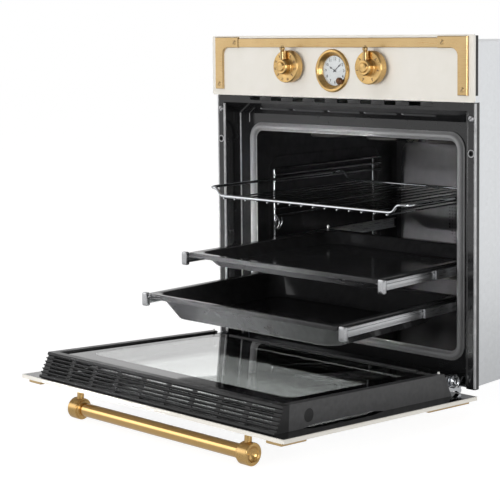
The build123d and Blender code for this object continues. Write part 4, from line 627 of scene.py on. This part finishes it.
piece("clock_hour_pointer", [hand(length=15, width=0.9, turn=300, y=-14.75)], numeral_paint,
      "hour_hand", ("clock_hour_hand",))
arbor = turned([(0, -16.1), (1.1, -16.1), (1.2, -15.9), (1.2, -8), (0, -8)], clock_place, Y, 24)
piece("clock_minute_pointer", [hand(length=21, width=0.7, turn=50, y=-15.4), arbor],
      numeral_paint, "minute_hand", ("clock_minute_hand",))


def fluted(profile, flutes, depth, centre, axis, steps):
    """Turned profile whose radius carries shallow flutes: r (1 - d |sin(n u / 2)|^3)."""
    grid, a, b = turned(profile, (0, 0, 0), axis, steps)
    w = unit(axis)
    along = (grid @ w)[..., None] * w
    u = np.linspace(0, 2 * pi, steps, endpoint=False)
    squeeze = 1 - depth * np.abs(np.sin(flutes * u / 2)) ** 3
    grid = along + (grid - along) * squeeze[None, :, None] + np.asarray(centre, float)
    return grid, a, b


setting_profile = softened([
    (0, -33.0), (3.4, -33.0), (4.0, -32.4), (5.2, -32.4), (6.25, -31.2), (6.25, -27.2),
    (5.2, -25.6), (2.4, -25.5), (2.4, -8.6), (0, -8.6)], 0.5, 4)
grip = fluted(setting_profile, flutes=18, depth=0.05, centre=axes["setting_turn"], axis=Y,
              steps=108)
piece("clock_setting_knob", [grip], bronze, "setting_knob", ("clock_knob",))


# Black ceramic print on two of the door's panes.

def window_print(name, top, pane_half, pane_near, pane_far, pane_corner, window_far):
    """Thin closed ring round the window, between the window's rounded rectangle inside and the
    pane's outside, with its upper face at the height top over the door's sheet."""
    window_near, window_half, window_corner, thick = 85, 228.0, 24.0, 0.15
    middle = (window_far + window_near) / 2
    inner_u, inner_v = corner_loop([window_half], [(window_far - window_near) / 2],
                                   [window_corner], 12)
    outer_u, outer_v = corner_loop([pane_half], [(pane_far - pane_near) / 2], [pane_corner], 12)
    outer_v = outer_v + (pane_far + pane_near) / 2 - middle
    u = np.vstack([inner_u, outer_u, outer_u, inner_u])
    v = np.vstack([inner_v, outer_v, outer_v, inner_v])
    h = np.array([top, top, top - thick, top - thick])
    ring = laid(u, v, h, on_door(0, middle, 0), (-1, 0, 0), door_along)
    piece(name, [(ring, True, True)], printed_black, "door")


window_print("inner_pane_print", top=36.02, pane_half=264.6, pane_near=59.6, pane_far=435.7,
             pane_corner=2.0, window_far=391)
window_print("outer_pane_print", top=0.02, pane_half=294.6, pane_near=3.2, pane_far=478.0,
             pane_corner=3.0, window_far=346)

# Handle: polished tube, two turned drums with dished ends, posts with a foot ring.

bar_profile = [(0, -180), (11, -180), (11, 180), (0, 180)]
post_x = 191.3
piece("handle_tube", [turned(bar_profile, handle_place, X, 72)], gilt_tube, "door",
      ("handle_bar",))
drum_profile = softened([
    (0, 179.3), (14.4, 179.3), (15, 180.0), (15, 182.6), (15.4, 183.3), (17.0, 183.3),
    (17.5, 184.0), (17.5, 202.3), (16.8, 203.3), (12.6, 203.3), (11.8, 202.6), (10.6, 200.6),
    (7.6, 198.6), (4.0, 197.6), (0, 197.2)], 0.7, 4)
post_profile = softened([
    (0, 0), (5.75, 0), (5.75, 34.8), (6.2, 35.4), (7.4, 35.6), (7.8, 36.2), (7.8, 38.4),
    (7.2, 39.2), (0, 39.2)], 0.5, 4)
ends = [turned(drum_profile * (1, side), handle_place, X, 80) for side in (-1, 1)]
ends += [turned(post_profile, handle_place + (side * post_x, 0, 0), door_rise, 40)
         for side in (-1, 1)]
piece("handle_drums", ends, gilt_rings["drums"], "door", ("handle_ends",))

# Gilt angles at the door's four corners, on its outer face.

corner_x, strip, upright = 286.5, 9, 30
angles = []
for side in (-1, 1):
    for start, reach, turn in ((8.5, 112, 1), (472.9, 54, -1)):
        corner = on_door(side * corner_x, start, -5.9)
        outline = [(0, 0), (reach, 0), (reach, strip), (strip, strip), (strip, upright),
                   (0, upright)]
        grid, _, _ = plate(outline, [(0.5, 0.2), (0, 0.2), (0, 6.0), (0.9, 6.9)],
                           (strip / 2, strip / 2), corner, door_along * turn, (-side, 0, 0))
        if side * turn < 0:
            grid = grid - 2 * ((grid - corner) @ door_rise)[..., None] * door_rise
        angles.append((grid, False, True))
piece("door_corner_angles", angles, gilt_x, "door", ("door_brackets",), 30)

# Flat spiral springs of the hinges, each wound on a stud at the outer cheek.

stud_profile = [(0, -2.6), (4.6, -2.6), (4.6, -2.0), (3.0, -1.6), (3.0, 1.2), (4.3, 1.5),
                (4.3, 2.4), (2.4, 3.2), (0, 3.3)]
u = np.linspace(0, 5.2 * pi, 90)
r = 4.2 + 8.0 * u / u[-1]
springs = []
for side in (-1, 1):
    centre = on_door(side * 266.4, 24, 22.5)
    coil = centre + (r * np.cos(u))[:, None] * door_along + (r * np.sin(u))[:, None] * door_rise
    leg = centre + 15.5 * door_along - 6 * door_rise
    springs.append(wire(np.vstack([coil, leg[None]]), 1.25, up=X))
    springs.append(turned(stud_profile, centre, (side, 0, 0), 24))
piece("hinge_spiral_springs", springs, chrome, "door", (), 40)

# Woven seal round the mouth: a bead with a thin flange at its outer edge.

low, high = corners("door_seal")
flange, mouth_corner = 14.6, 16
mouth_u, mouth_v = high[0] - flange, (high[2] - low[2]) / 2 - flange
mouth_middle = (0, high[1], (high[2] + low[2]) / 2)


def round_mouth(section):
    """Section carried round the rounded rectangle of the oven's mouth."""
    return hoop(section, mouth_u, mouth_v, mouth_corner, mouth_middle, X, Z, 12)


seal_section = softened([
    (0.3, 0), (0.2, 3.0), (1.6, 6.6), (4.6, 9.0), (8.0, 9.0), (10.8, 6.8), (12.6, 3.6),
    (flange, 2.6), (flange, 0), (0.3, 0)], 2.6, 6)[:-1]
piece("door_seal_woven", [round_mouth(seal_section)], braid, "oven",
      ("door_seal",))


# Trays.

def tray(level, border, flare):
    """Enamelled tray as one closed skin: from the middle of its underside out to the wall, up
    and out under the rim, down and round the skirt, back over the rim with a raised bead and
    down into the basin. Each step is a rounded rectangle (inset, height, corner radius)."""
    low, high = corners(level + "_tray")
    top, t, hem, foot = high[2] - low[2], 1.3, 8, border + flare
    rows = softened([
        (foot + 14, 0, 24), (foot, 0, 28), (border - 0.6, top - t - 2.5, 20),
        (border - 2.5, top - t, 18), (t + 2, top - t, 9), (t, top - t - 1.2, 8),
        (t, top - hem, 8), (0.1, top - hem, 9), (0.1, top - 1.4, 9), (1.0, top, 9),
        (2.6, top + 0.15, 9.5), (border - 3, top - 0.1, 18), (border + 0.4, top - 1.6, 21),
        (foot - 0.4, t + 3.5, 27), (foot + 3.5, t, 29), (foot + 16, t, 24)], 2.4, 5)
    skin = stacked(rows, high[0], (high[1] - low[1]) / 2, (0, (high[1] + low[1]) / 2, low[2]), X,
                   Y, 10)
    piece("baking_tray_" + level, [skin], tray_enamel, level + "_drawer",
          (level + "_tray",), 40)


tray("upper", border=17, flare=14)
tray("lower", border=13.6, flare=20)

# Telescopic slides: a rolled bar with two ball tracks, an inner lip under the tray's rim that
# runs on to the tray's rear corner, a ball-headed pin on it and a cap with eased corners at the
# front.

pin_profile = softened([(0, -0.4), (1.3, -0.4), (1.3, 9.4), (2.7, 10.9), (2.7, 14.1), (1.3, 15.6),
                        (0, 15.6)], 1.2, 4)
for level, tail in tray_rears.items():
    low, high = corners(level + "_slides")
    start, end, height, lip_top = low[1], high[1], rail_heights[level], 3.8
    parts = []
    for side in (-1, 1):
        for x0, x1, y0, y1, z0, z1, edge in (
                (218.2, 223.4, start + 6, end, -7.5, 7.5, 1.2),
                (222.4, 224.6, start + 6, end - 3, -3.6, 3.0, 1.05),
                (222.4, 224.0, start + 6, end - 3, 5.4, 7.5, 0.7),
                (222.4, 224.0, start + 6, end - 3, -7.5, -5.6, 0.7),
                (208.2, 221.4, start + 6, tail + 0.8, 2.4, lip_top, 0.5),
                (218.2, high[0], start, start + 9, -slide_cap, slide_cap, 2.4)):
            near, far = sorted((side * x0, side * x1))
            parts.append(block((near, y0, height + z0), (far, y1, height + z1), edge, "y"))
    piece(level + "_rail_slides", parts, satin_steel, level + "_drawer",
          (level + "_slides",))
    pins = [turned(pin_profile, (side * 219.6, tail - 1.7, height + lip_top), Z, 24)
            for side in (-1, 1)]
    piece(level + "_rail_pins", pins, pin_steel, level + "_drawer")

# Side racks of bright wire, with the spring hooks that hold the upper rail to its level.

inner_x, outer_x, foot_z, head_z, rear_y = 229.9, 234.6, 96, 331.5, 408
post, rung, spring = 3.0, 2.5, 1.5
upper_rail, lower_rail = rail_heights.values()
shelf_guide, spare_guide = 312.8, 247.3
racks = []
for side in (-1, 1):
    to_side = (side, 1, 1)
    for y in (81, 388):
        racks.append(wire(softened(np.array([
            (238.5, y, foot_z), (outer_x, y, foot_z), (outer_x, y, head_z),
            (inner_x, y, head_z)]) * to_side, 3, 4), post, up=Y))
        for z in (shelf_guide, upper_rail):
            racks.append(wire(np.array([(outer_x, y, z), (237, y, z), (240, y, z)]) * to_side,
                              rung))
    for x, z in [(inner_x, head_z), (outer_x, foot_z)]:
        racks.append(wire(np.array([(x, 78, z), (x, 200, z), (x, rear_y, z)]) * to_side, rung))
    for x, middle in [(inner_x, shelf_guide), (inner_x, spare_guide), (outer_x, upper_rail),
                      (outer_x, lower_rail)]:
        for z in (middle - 6.25, middle + 6.25):
            racks.append(wire(softened(np.array([
                (x + 3, 79, z), (x, 84, z), (x, 250, z), (x, rear_y, z)]) * to_side, 3, 4), rung))
    for hook in ([(233.6, 90, 238), (230.5, 86, 240), (229.0, 80.5, 234), (230, 78.5, 226),
                  (231, 82, 217), (231.5, 90, 213), (231, 96, 219), (230, 99, 229),
                  (230, 96, 236)],
                 [(232, 86, 236), (230, 90, 228), (230, 88, 220), (232, 84, 214)]):
        racks.append(wire(softened(np.array(hook) * to_side, 4, 5), spring, up=(1, 0.1, 0)))
piece("side_rack_wires", racks, chrome, "oven", ("side_racks",), 50)

# Wire shelf: one bent frame rod, hooked up at its four corners, and fifteen thin wires welded
# under its front and rear runs.

low, high = corners("wire_shelf")
rod, thin, pitch = 2.8, 1.5, 26.6
flank, front, rear, flat = high[0] - rod, low[1] + rod, high[1] - rod, low[2] + rod
raised = flat + 14
half_frame = [(0, rear, flat), (180, rear, flat), (196, rear, flat + 2), (205, rear, flat + 15),
              (214, rear - 1, flat + 18), (222, rear - 4, raised), (flank, rear - 12, raised),
              (flank, front + 13, raised), (222, front + 3, raised), (212, front, raised),
              (205, front, raised - 2), (196, front, flat + 1), (186, front, flat),
              (0, front, flat)]
right_half = softened(half_frame, 5, 5)
loop = np.vstack([right_half, (right_half * (-1, 1, 1))[::-1][1:]])
shelf = [wire(loop, rod)]
for number in range(15):
    x, z = (number - 7) * pitch, flat - 3.7
    shelf.append(wire([(x, front - 3.2, z), (x, -100, z), (x, 80, z), (x, 250, z),
                       (x, rear + 4.5, z)], thin, up=(1, 0.05, 0), sides=8))
piece("wire_shelf_bent", shelf, chrome, "shelf", ("wire_shelf",), 50)


# Fan cover: dished plate with a round field of small holes in front of the fan.

def hole_tiles(pitch, radius, hole, centre, thick):
    """Square tiles, each with an eight-sided hole, on a grid inside a circle, and blind tiles in
    a band round them. A tile is a closed ring: four edges outside and the hole inside."""
    steps = np.arange(-int(radius / pitch) - 2, int(radius / pitch) + 2) + 0.5
    i, k = (grid.ravel() * pitch for grid in np.meshgrid(steps, steps))
    reach = np.hypot(i, k)
    middle = np.stack([i, 0 * i, k], axis=1)
    a = np.arange(8) * pi / 4
    square = np.stack([np.cos(a), np.sin(a)], axis=1)
    square = square / np.abs(square).max(axis=1, keepdims=True) * (pitch / 2 - 0.02)
    circle = np.stack([np.cos(a), np.sin(a)], axis=1) * hole
    rows = np.stack([np.insert(square, 1, 0, axis=1), np.insert(circle, 1, 0, axis=1),
                     np.insert(circle, 1, thick, axis=1), np.insert(square, 1, thick, axis=1)])
    place = middle[:, None, None, :] + centre
    open_tiles = (rows + place)[reach < radius]
    rows[1], rows[2] = rows[0] * 0, rows[3] * 0 + (0, thick, 0)
    blind_tiles = (rows + place)[(reach >= radius) & (reach < radius + pitch)]
    return [(tile, True, True) for tile in open_tiles] + [
        (tile[[1, 0, 3, 2]], False, True) for tile in blind_tiles]


cover_half_u, cover_half_v = 227, 143
a = np.concatenate([np.linspace(0, pi / 2, 12) + k * pi / 2 for k in range(4)])
rings = []
for radius, y in ((105, 472.4), (105, 471.2), (107, 470.6)):
    rings.append(np.stack([radius * np.cos(a), 0 * a + y, radius * np.sin(a)], axis=1))
for inset, corner, y in ((12, 24, 470.6), (6, 26, 471.8), (1.5, 28, 474.5), (0.2, 28, 477),
                         (1.2, 27, 477), (3, 27, 475.2), (7, 25, 472.9), (12, 24, 472.0)):
    u, v = corner_loop([cover_half_u - inset], [cover_half_v - inset], [corner], 12)
    rings.append(np.stack([u[0], 0 * u[0] + y, v[0]], axis=1))
cover = [(np.stack(rings) + cover_middle, True, True)]
cover += hole_tiles(pitch=6.8, radius=103.4, hole=2.3, centre=cover_middle + (0, 471.3, 0),
                    thick=1.0)
piece("fan_cover_perforated", cover, cover_enamel_painted_lighter, "oven", ("fan_cover",), 35)

# Black ring behind the outer holes of the cover, round the fan chamber's mouth: painted shade
# of the chamber, seen through the holes.

chamber_shade = turned_ring([(84, 0), (112, 0), (112, 1.2), (84, 1.2), (84, 0)],
                  cover_middle + (0, 473.4, 0), Y, 96)
piece("fan_chamber_painted_shade", [chamber_shade], black_paint, "oven")

# Pressed panel outline and small vents in the oven's side walls.

wall_x, vent_z = 240, 353
ridge = [(-3.2, -0.2), (-1.2, 0.9), (1.2, 0.9), (3.2, -0.2)]
vent = [(1.4, -0.1), (2.6, -0.1), (2.6, 0.5), (2.0, 0.9), (1.4, 0.5), (1.4, -0.1)]
walls = []
for side in (-1, 1):
    walls.append(hoop(ridge, 170, 124, 30, (side * wall_x, 243, 229), (0, -side, 0), Z, 12))
    for y in (227.1, 266.2, 279.5, 341.5, 356.3, 369.9):
        walls.append(turned_ring(vent, (side * wall_x, y, vent_z), (-side, 0, 0), 12))
piece("oven_wall_pressings", walls, cavity_enamel_painted_lighter, "oven")

# Screws: domed heads, with a dark bar painted as the shade in the slot.

def screw_heads(name, places, radius, height, side, material, node):
    """Low domes r(s) that face the front, each with a narrow dark bar laid along the direction side
    as painted shade of its slot."""
    out = np.array([0, -1, 0])
    dome = softened([(0, -0.6), (radius, -0.6), (radius, height * 0.35), (radius * 0.8, height),
                     (0, height * 1.05)], radius * 0.3, 5)
    heads = [turned(dome, place, out, 32) for place in places]
    piece(name, heads, material, "oven", (node,))
    flat = [(0.1, 0, 0.1), (0, 0.02, 0.1), (0, 0.08, 0.1), (0.1, 0.1, 0.1)]
    slot_shade_bars = [stacked(flat, radius * 0.8, 0.5, place + out * height * 1.04, side,
                    np.cross(out, side), 3) for place in places]
    piece(name + "_slots", slot_shade_bars, black_paint, "oven")


low, high = corners("frame_screws")
column_face, reach = fixing_places[0][1], 5.4
places = [(side * (high[0] - reach), column_face, high[2] - reach) for side in (-1, 1)]
screw_heads("frame_screw_heads", places, reach, 2.2, (0.8, 0, 0.6), dull_steel, "frame_screws")
low, high = corners("bracket_screws")
bracket_face, reach = -24.6, 4.2
places = [(side * x, bracket_face, z) for side in (-1, 1)
          for x, z in ((236.4, high[2] - reach), (high[0] - reach, low[2] + reach))]
screw_heads("bracket_screw_heads", places, reach, 1.1, (0.6, 0, 0.8), gilt_z, "bracket_screws")

# Rolled edges of the front frame: the rounded bends of the sheet along the columns, a pressed
# step in the recess and the bend at the mouth, painted light grey as painted highlights on the
# black enamel. The right column's inner bend keeps the black enamel and shows no painted
# highlight.

def upright_bend(x, y, foot, head, radius):
    """Thin rounded bar from foot to head at (x, y)."""
    return wire([(x, y, z) for z in (foot, foot + 5, head - 5, head)], radius, up=Y, sides=16)


inner_bend = (277.4, -9.6, 6, 461, 2.4)
bends = [upright_bend(-inner_bend[0], *inner_bend[1:])]
for side in (-1, 1):
    for x, y, foot, head, radius in ((275.6, 24.6, 6, 442, 1.7), (272.4, 29.0, 6, 441, 1.5),
                                     (249.6, 30.0, 424, 441, 0.7), (292.6, -9.2, 3, 476, 2.4)):
        bends.append(upright_bend(side * x, y, foot, head, radius))
bends.append(round_mouth([(-1.2, 0.2), (-0.9, 1.1), (0, 1.5), (0.5, 1.0), (0.4, 0.2)]))
piece("front_frame_inner_bend", [upright_bend(*inner_bend)], enamel, "oven")
piece("front_frame_bends_painted_highlight", bends, highlight_bend_paint, "oven")

# Pressed collars round the two fixing holes, painted light grey as painted highlights, and a
# dark sleeve in each.

collar = softened([(4.6, -0.4), (6.9, -0.4), (6.6, 0.5), (5.7, 1.1), (4.8, 0.6), (4.6, -0.4)],
                  0.2, 3)
sleeve = softened([(0, 4.0), (3.3, 4.0), (3.3, -0.3), (4.1, -0.3), (4.1, 4.6), (0, 4.6)], 0.2, 3)
piece("front_frame_hole_collars", [turned_ring(collar, place, (0, -1, 0), 40)
                                   for place in fixing_places],
      highlight_bend_paint, "oven")
piece("front_frame_hole_sleeves", [turned(sleeve, place, Y, 32) for place in fixing_places],
      satin_black, "oven")

# Rolled rims of the five slots in the sloped ceiling, in grey paint lighter than the enamel as
# faint painted highlights, with painted highlights in light grey at their left ends, and the
# bent tongues behind the eight slots of the lip.

slope = unit((0, 41, -22))
bead = [(-0.2, 0.3), (-0.1, -0.7), (0.5, -1.0), (1.0, -0.6), (1.2, 0.3)]
slot_middles = [82.5 * (number - 2) for number in range(5)]
lip_slots = [52.6 * (number - 3.5) for number in range(8)]
rims = [hoop(bead, 34, 1.8, 1.7, (x, 10, 451.7), X, slope, 6) for x in slot_middles]
glints = [wire([(x - 36, 8.6, 452.2), (x - 33.5, 8.2, 452.3), (x - 31, 8.2, 452.3)], 0.9)
          for x in slot_middles]
tongues = [block((x - 2, -9.4, 468), (x + 24, -8.4, 475.3), 0.3, "x") for x in lip_slots]
piece("front_frame_slot_rims", rims, dark_frame, "oven")
piece("front_frame_slot_end_painted_glints", glints, highlight_bend_paint, "oven")
piece("front_frame_tongues", tongues, enamel, "oven")

# Camera of the photograph, worked back from the fascia, the trays and the door. Its place is
# in millimetres, its focal length and optical centre in pixels of the square picture.

picture, focal_length, centre_x, centre_y = 500, 1420.21, 257.15, 143.92
camera_place = (1607.8, -1938.8, 596.0)
yaw, pitch, roll = radians(43.04), radians(4.53), radians(-0.55)
ahead = np.array([-sin(yaw) * cos(pitch), cos(yaw) * cos(pitch), -sin(pitch)])
sideways = np.array([cos(yaw), sin(yaw), 0])
above = np.cross(sideways, ahead)
right = sideways * cos(roll) + above * sin(roll)
up = above * cos(roll) - sideways * sin(roll)
lens = bpy.data.cameras.new("camera")
lens.sensor_width = 36
lens.lens = focal_length / picture * lens.sensor_width
lens.shift_x = (picture / 2 - centre_x) / picture
lens.shift_y = (centre_y - picture / 2) / picture
lens.clip_start, lens.clip_end = 0.05, 40
camera = bpy.data.objects.new("camera", lens)
camera.matrix_world = Matrix([[right[i], up[i], -ahead[i], camera_place[i] * MM]
                              for i in range(3)] + [[0, 0, 0, 1]])
bpy.context.scene.collection.objects.link(camera)
bpy.context.scene.camera = camera


# Studio: pale floor, white surround and five soft lamps.

def combined(tree, operation, first, second):
    """Math node of two values, each an output or a number."""
    node = tree.nodes.new("ShaderNodeMath")
    node.operation = operation
    for socket, value in zip(node.inputs, (first, second)):
        if isinstance(value, (int, float)):
            socket.default_value = value
        else:
            tree.links.new(value, socket)
    return node.outputs[0]


def seen_directly(tree):
    """1 for camera, glossy and transmission rays, else 0."""
    rays = tree.nodes.new("ShaderNodeLightPath").outputs
    return combined(tree, "MAXIMUM", rays["Is Transmission Ray"],
                    combined(tree, "MAXIMUM", rays["Is Camera Ray"], rays["Is Glossy Ray"]))


half, floor_z = 12.0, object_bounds()[0].z - 0.0005
ground = bpy.data.meshes.new("studio_floor")
ground.from_pydata([(-half, -half, floor_z), (half, -half, floor_z), (half, half, floor_z),
                    (-half, half, floor_z)], [], [(0, 1, 2, 3)])

# The floor is matt to the light that falls on it. Seen directly it is mostly an even glow, twice
# as strong through glass and dimmed near the oven in reflections, as painted shade of the oven
# on the floor.

glow_level, glow_share, dim_near, dim_far, dimmed = 1.28, 0.7, 0.75, 1.35, 0.5
floor_paint = bpy.data.materials.new("pale_floor")
floor_paint.use_nodes = True
tree = floor_paint.node_tree
tree.nodes.clear()
matt, glow = tree.nodes.new("ShaderNodeBsdfDiffuse"), tree.nodes.new("ShaderNodeEmission")
matt.inputs["Color"].default_value = (0.86, 0.86, 0.86, 1)
distance = tree.nodes.new("ShaderNodeVectorMath")
distance.operation = "LENGTH"
tree.links.new(tree.nodes.new("ShaderNodeTexCoord").outputs["Object"], distance.inputs[0])
dim = tree.nodes.new("ShaderNodeMapRange")
dim.interpolation_type = "SMOOTHSTEP"
dim.inputs["From Min"].default_value, dim.inputs["From Max"].default_value = dim_near, dim_far
dim.inputs["To Min"].default_value, dim.inputs["To Max"].default_value = dimmed, 0.0
tree.links.new(distance.outputs["Value"], dim.inputs["Value"])
rays = tree.nodes.new("ShaderNodeLightPath").outputs
near = combined(tree, "SUBTRACT", combined(tree, "ADD", rays["Is Transmission Ray"], 1),
                combined(tree, "MULTIPLY", rays["Is Glossy Ray"], dim.outputs[0]))
tree.links.new(combined(tree, "MULTIPLY", near, glow_level), glow.inputs["Strength"])
blend = tree.nodes.new("ShaderNodeMixShader")
tree.links.new(combined(tree, "MULTIPLY", seen_directly(tree), glow_share), blend.inputs["Fac"])
tree.links.new(matt.outputs[0], blend.inputs[1])
tree.links.new(glow.outputs[0], blend.inputs[2])
ending = tree.nodes.new("ShaderNodeOutputMaterial")
tree.links.new(blend.outputs[0], ending.inputs["Surface"])
ground.materials.append(floor_paint)
floor = bpy.data.objects.new("studio_floor", ground)
bpy.context.scene.collection.objects.link(floor)

# The surround is white where it is seen, dimmer as light, and in shiny surfaces a dim level with
# four soft round panels.

as_light, mirrored = 0.4, 0.24
world = bpy.data.worlds.new("white_surround")
world.use_nodes = True
tree = world.node_tree
tree.nodes.clear()
sky = tree.nodes.new("ShaderNodeBackground")
sky.inputs["Color"].default_value = (1, 1, 1, 1)
heading = tree.nodes.new("ShaderNodeTexCoord").outputs["Generated"]


def panel(toward, inner, outer, strength):
    """Soft round light far off, for reflections: its strength within the inner angle round its
    direction, nothing beyond the outer angle."""
    facing = tree.nodes.new("ShaderNodeVectorMath")
    facing.operation = "DOT_PRODUCT"
    facing.inputs[1].default_value = unit(toward).tolist()
    tree.links.new(heading, facing.inputs[0])
    soft = tree.nodes.new("ShaderNodeMapRange")
    soft.interpolation_type = "SMOOTHSTEP"
    soft.inputs["From Min"].default_value = cos(radians(outer))
    soft.inputs["From Max"].default_value = cos(radians(inner))
    soft.inputs["To Max"].default_value = strength
    tree.links.new(facing.outputs["Value"], soft.inputs["Value"])
    return soft.outputs[0]


for toward, inner, outer, strength in (((-0.71, -0.6, 0.37), 9, 22, 1.3),
                                       ((-0.68, -0.73, 0.05), 22, 34, 0.8),
                                       ((0.64, 0.77, 0.02), 8, 18, 1.5),
                                       ((-0.66, 0.72, 0.22), 20, 45, 0.8)):
    mirrored = combined(tree, "ADD", panel(toward, inner, outer, strength), mirrored)
rays = tree.nodes.new("ShaderNodeLightPath").outputs
direct = combined(tree, "MAXIMUM", rays["Is Camera Ray"], rays["Is Transmission Ray"])
shine = combined(tree, "MULTIPLY", rays["Is Glossy Ray"], mirrored)
seen = combined(tree, "MAXIMUM", direct, shine)
rest = combined(tree, "SUBTRACT", 1, combined(tree, "MAXIMUM", direct, rays["Is Glossy Ray"]))
tree.links.new(combined(tree, "ADD", seen, combined(tree, "MULTIPLY", rest, as_light)),
               sky.inputs["Strength"])
ending = tree.nodes.new("ShaderNodeOutputWorld")
tree.links.new(sky.outputs[0], ending.inputs["Surface"])
bpy.context.scene.world = world


def lamp(name, place, aim, width, height, watts, spread=180, glint=False):
    """Soft rectangular lamp at a place in metres, turned to its aim. One with a glint is seen
    only in shiny surfaces, the others only light the oven, and none is seen through glass."""
    data = bpy.data.lights.new(name, "AREA")
    data.shape, data.size, data.size_y, data.energy = "RECTANGLE", width, height, watts
    data.spread = radians(spread)
    made = bpy.data.objects.new(name, data)
    back = unit(np.array(place) - np.array(aim))
    side = unit(np.cross(Z, back))
    top = np.cross(back, side)
    made.matrix_world = Matrix([[side[i], top[i], back[i], place[i]] for i in range(3)]
                               + [[0, 0, 0, 1]])
    made.visible_glossy, made.visible_diffuse, made.visible_camera = glint, not glint, False
    made.visible_transmission = False
    bpy.context.scene.collection.objects.link(made)


lamp("front_softbox", (-0.25, -3.4, 0.55), (0, 0.3, 0.3), 1.4, 0.9, 47)
lamp("top_softbox", (-0.6, -1.8, 3.2), (0, 0, 0.2), 1.8, 1.8, 19)
lamp("right_softbox", (3.2, 0.6, 0.5), (0, 0, 0.2), 1.6, 1.6, 44)
lamp("oven_light", (-0.3, -2.6, 0.15), (-0.02, 0.47, 0.21), 0.1, 0.1, 1.6, spread=11)
lamp("right_strip", (2.75, -1.25, 0.72), (0, 0, 0.3), 0.8, 1.5, 38, glint=True)
bpy.context.scene.view_settings.view_transform = "Standard"
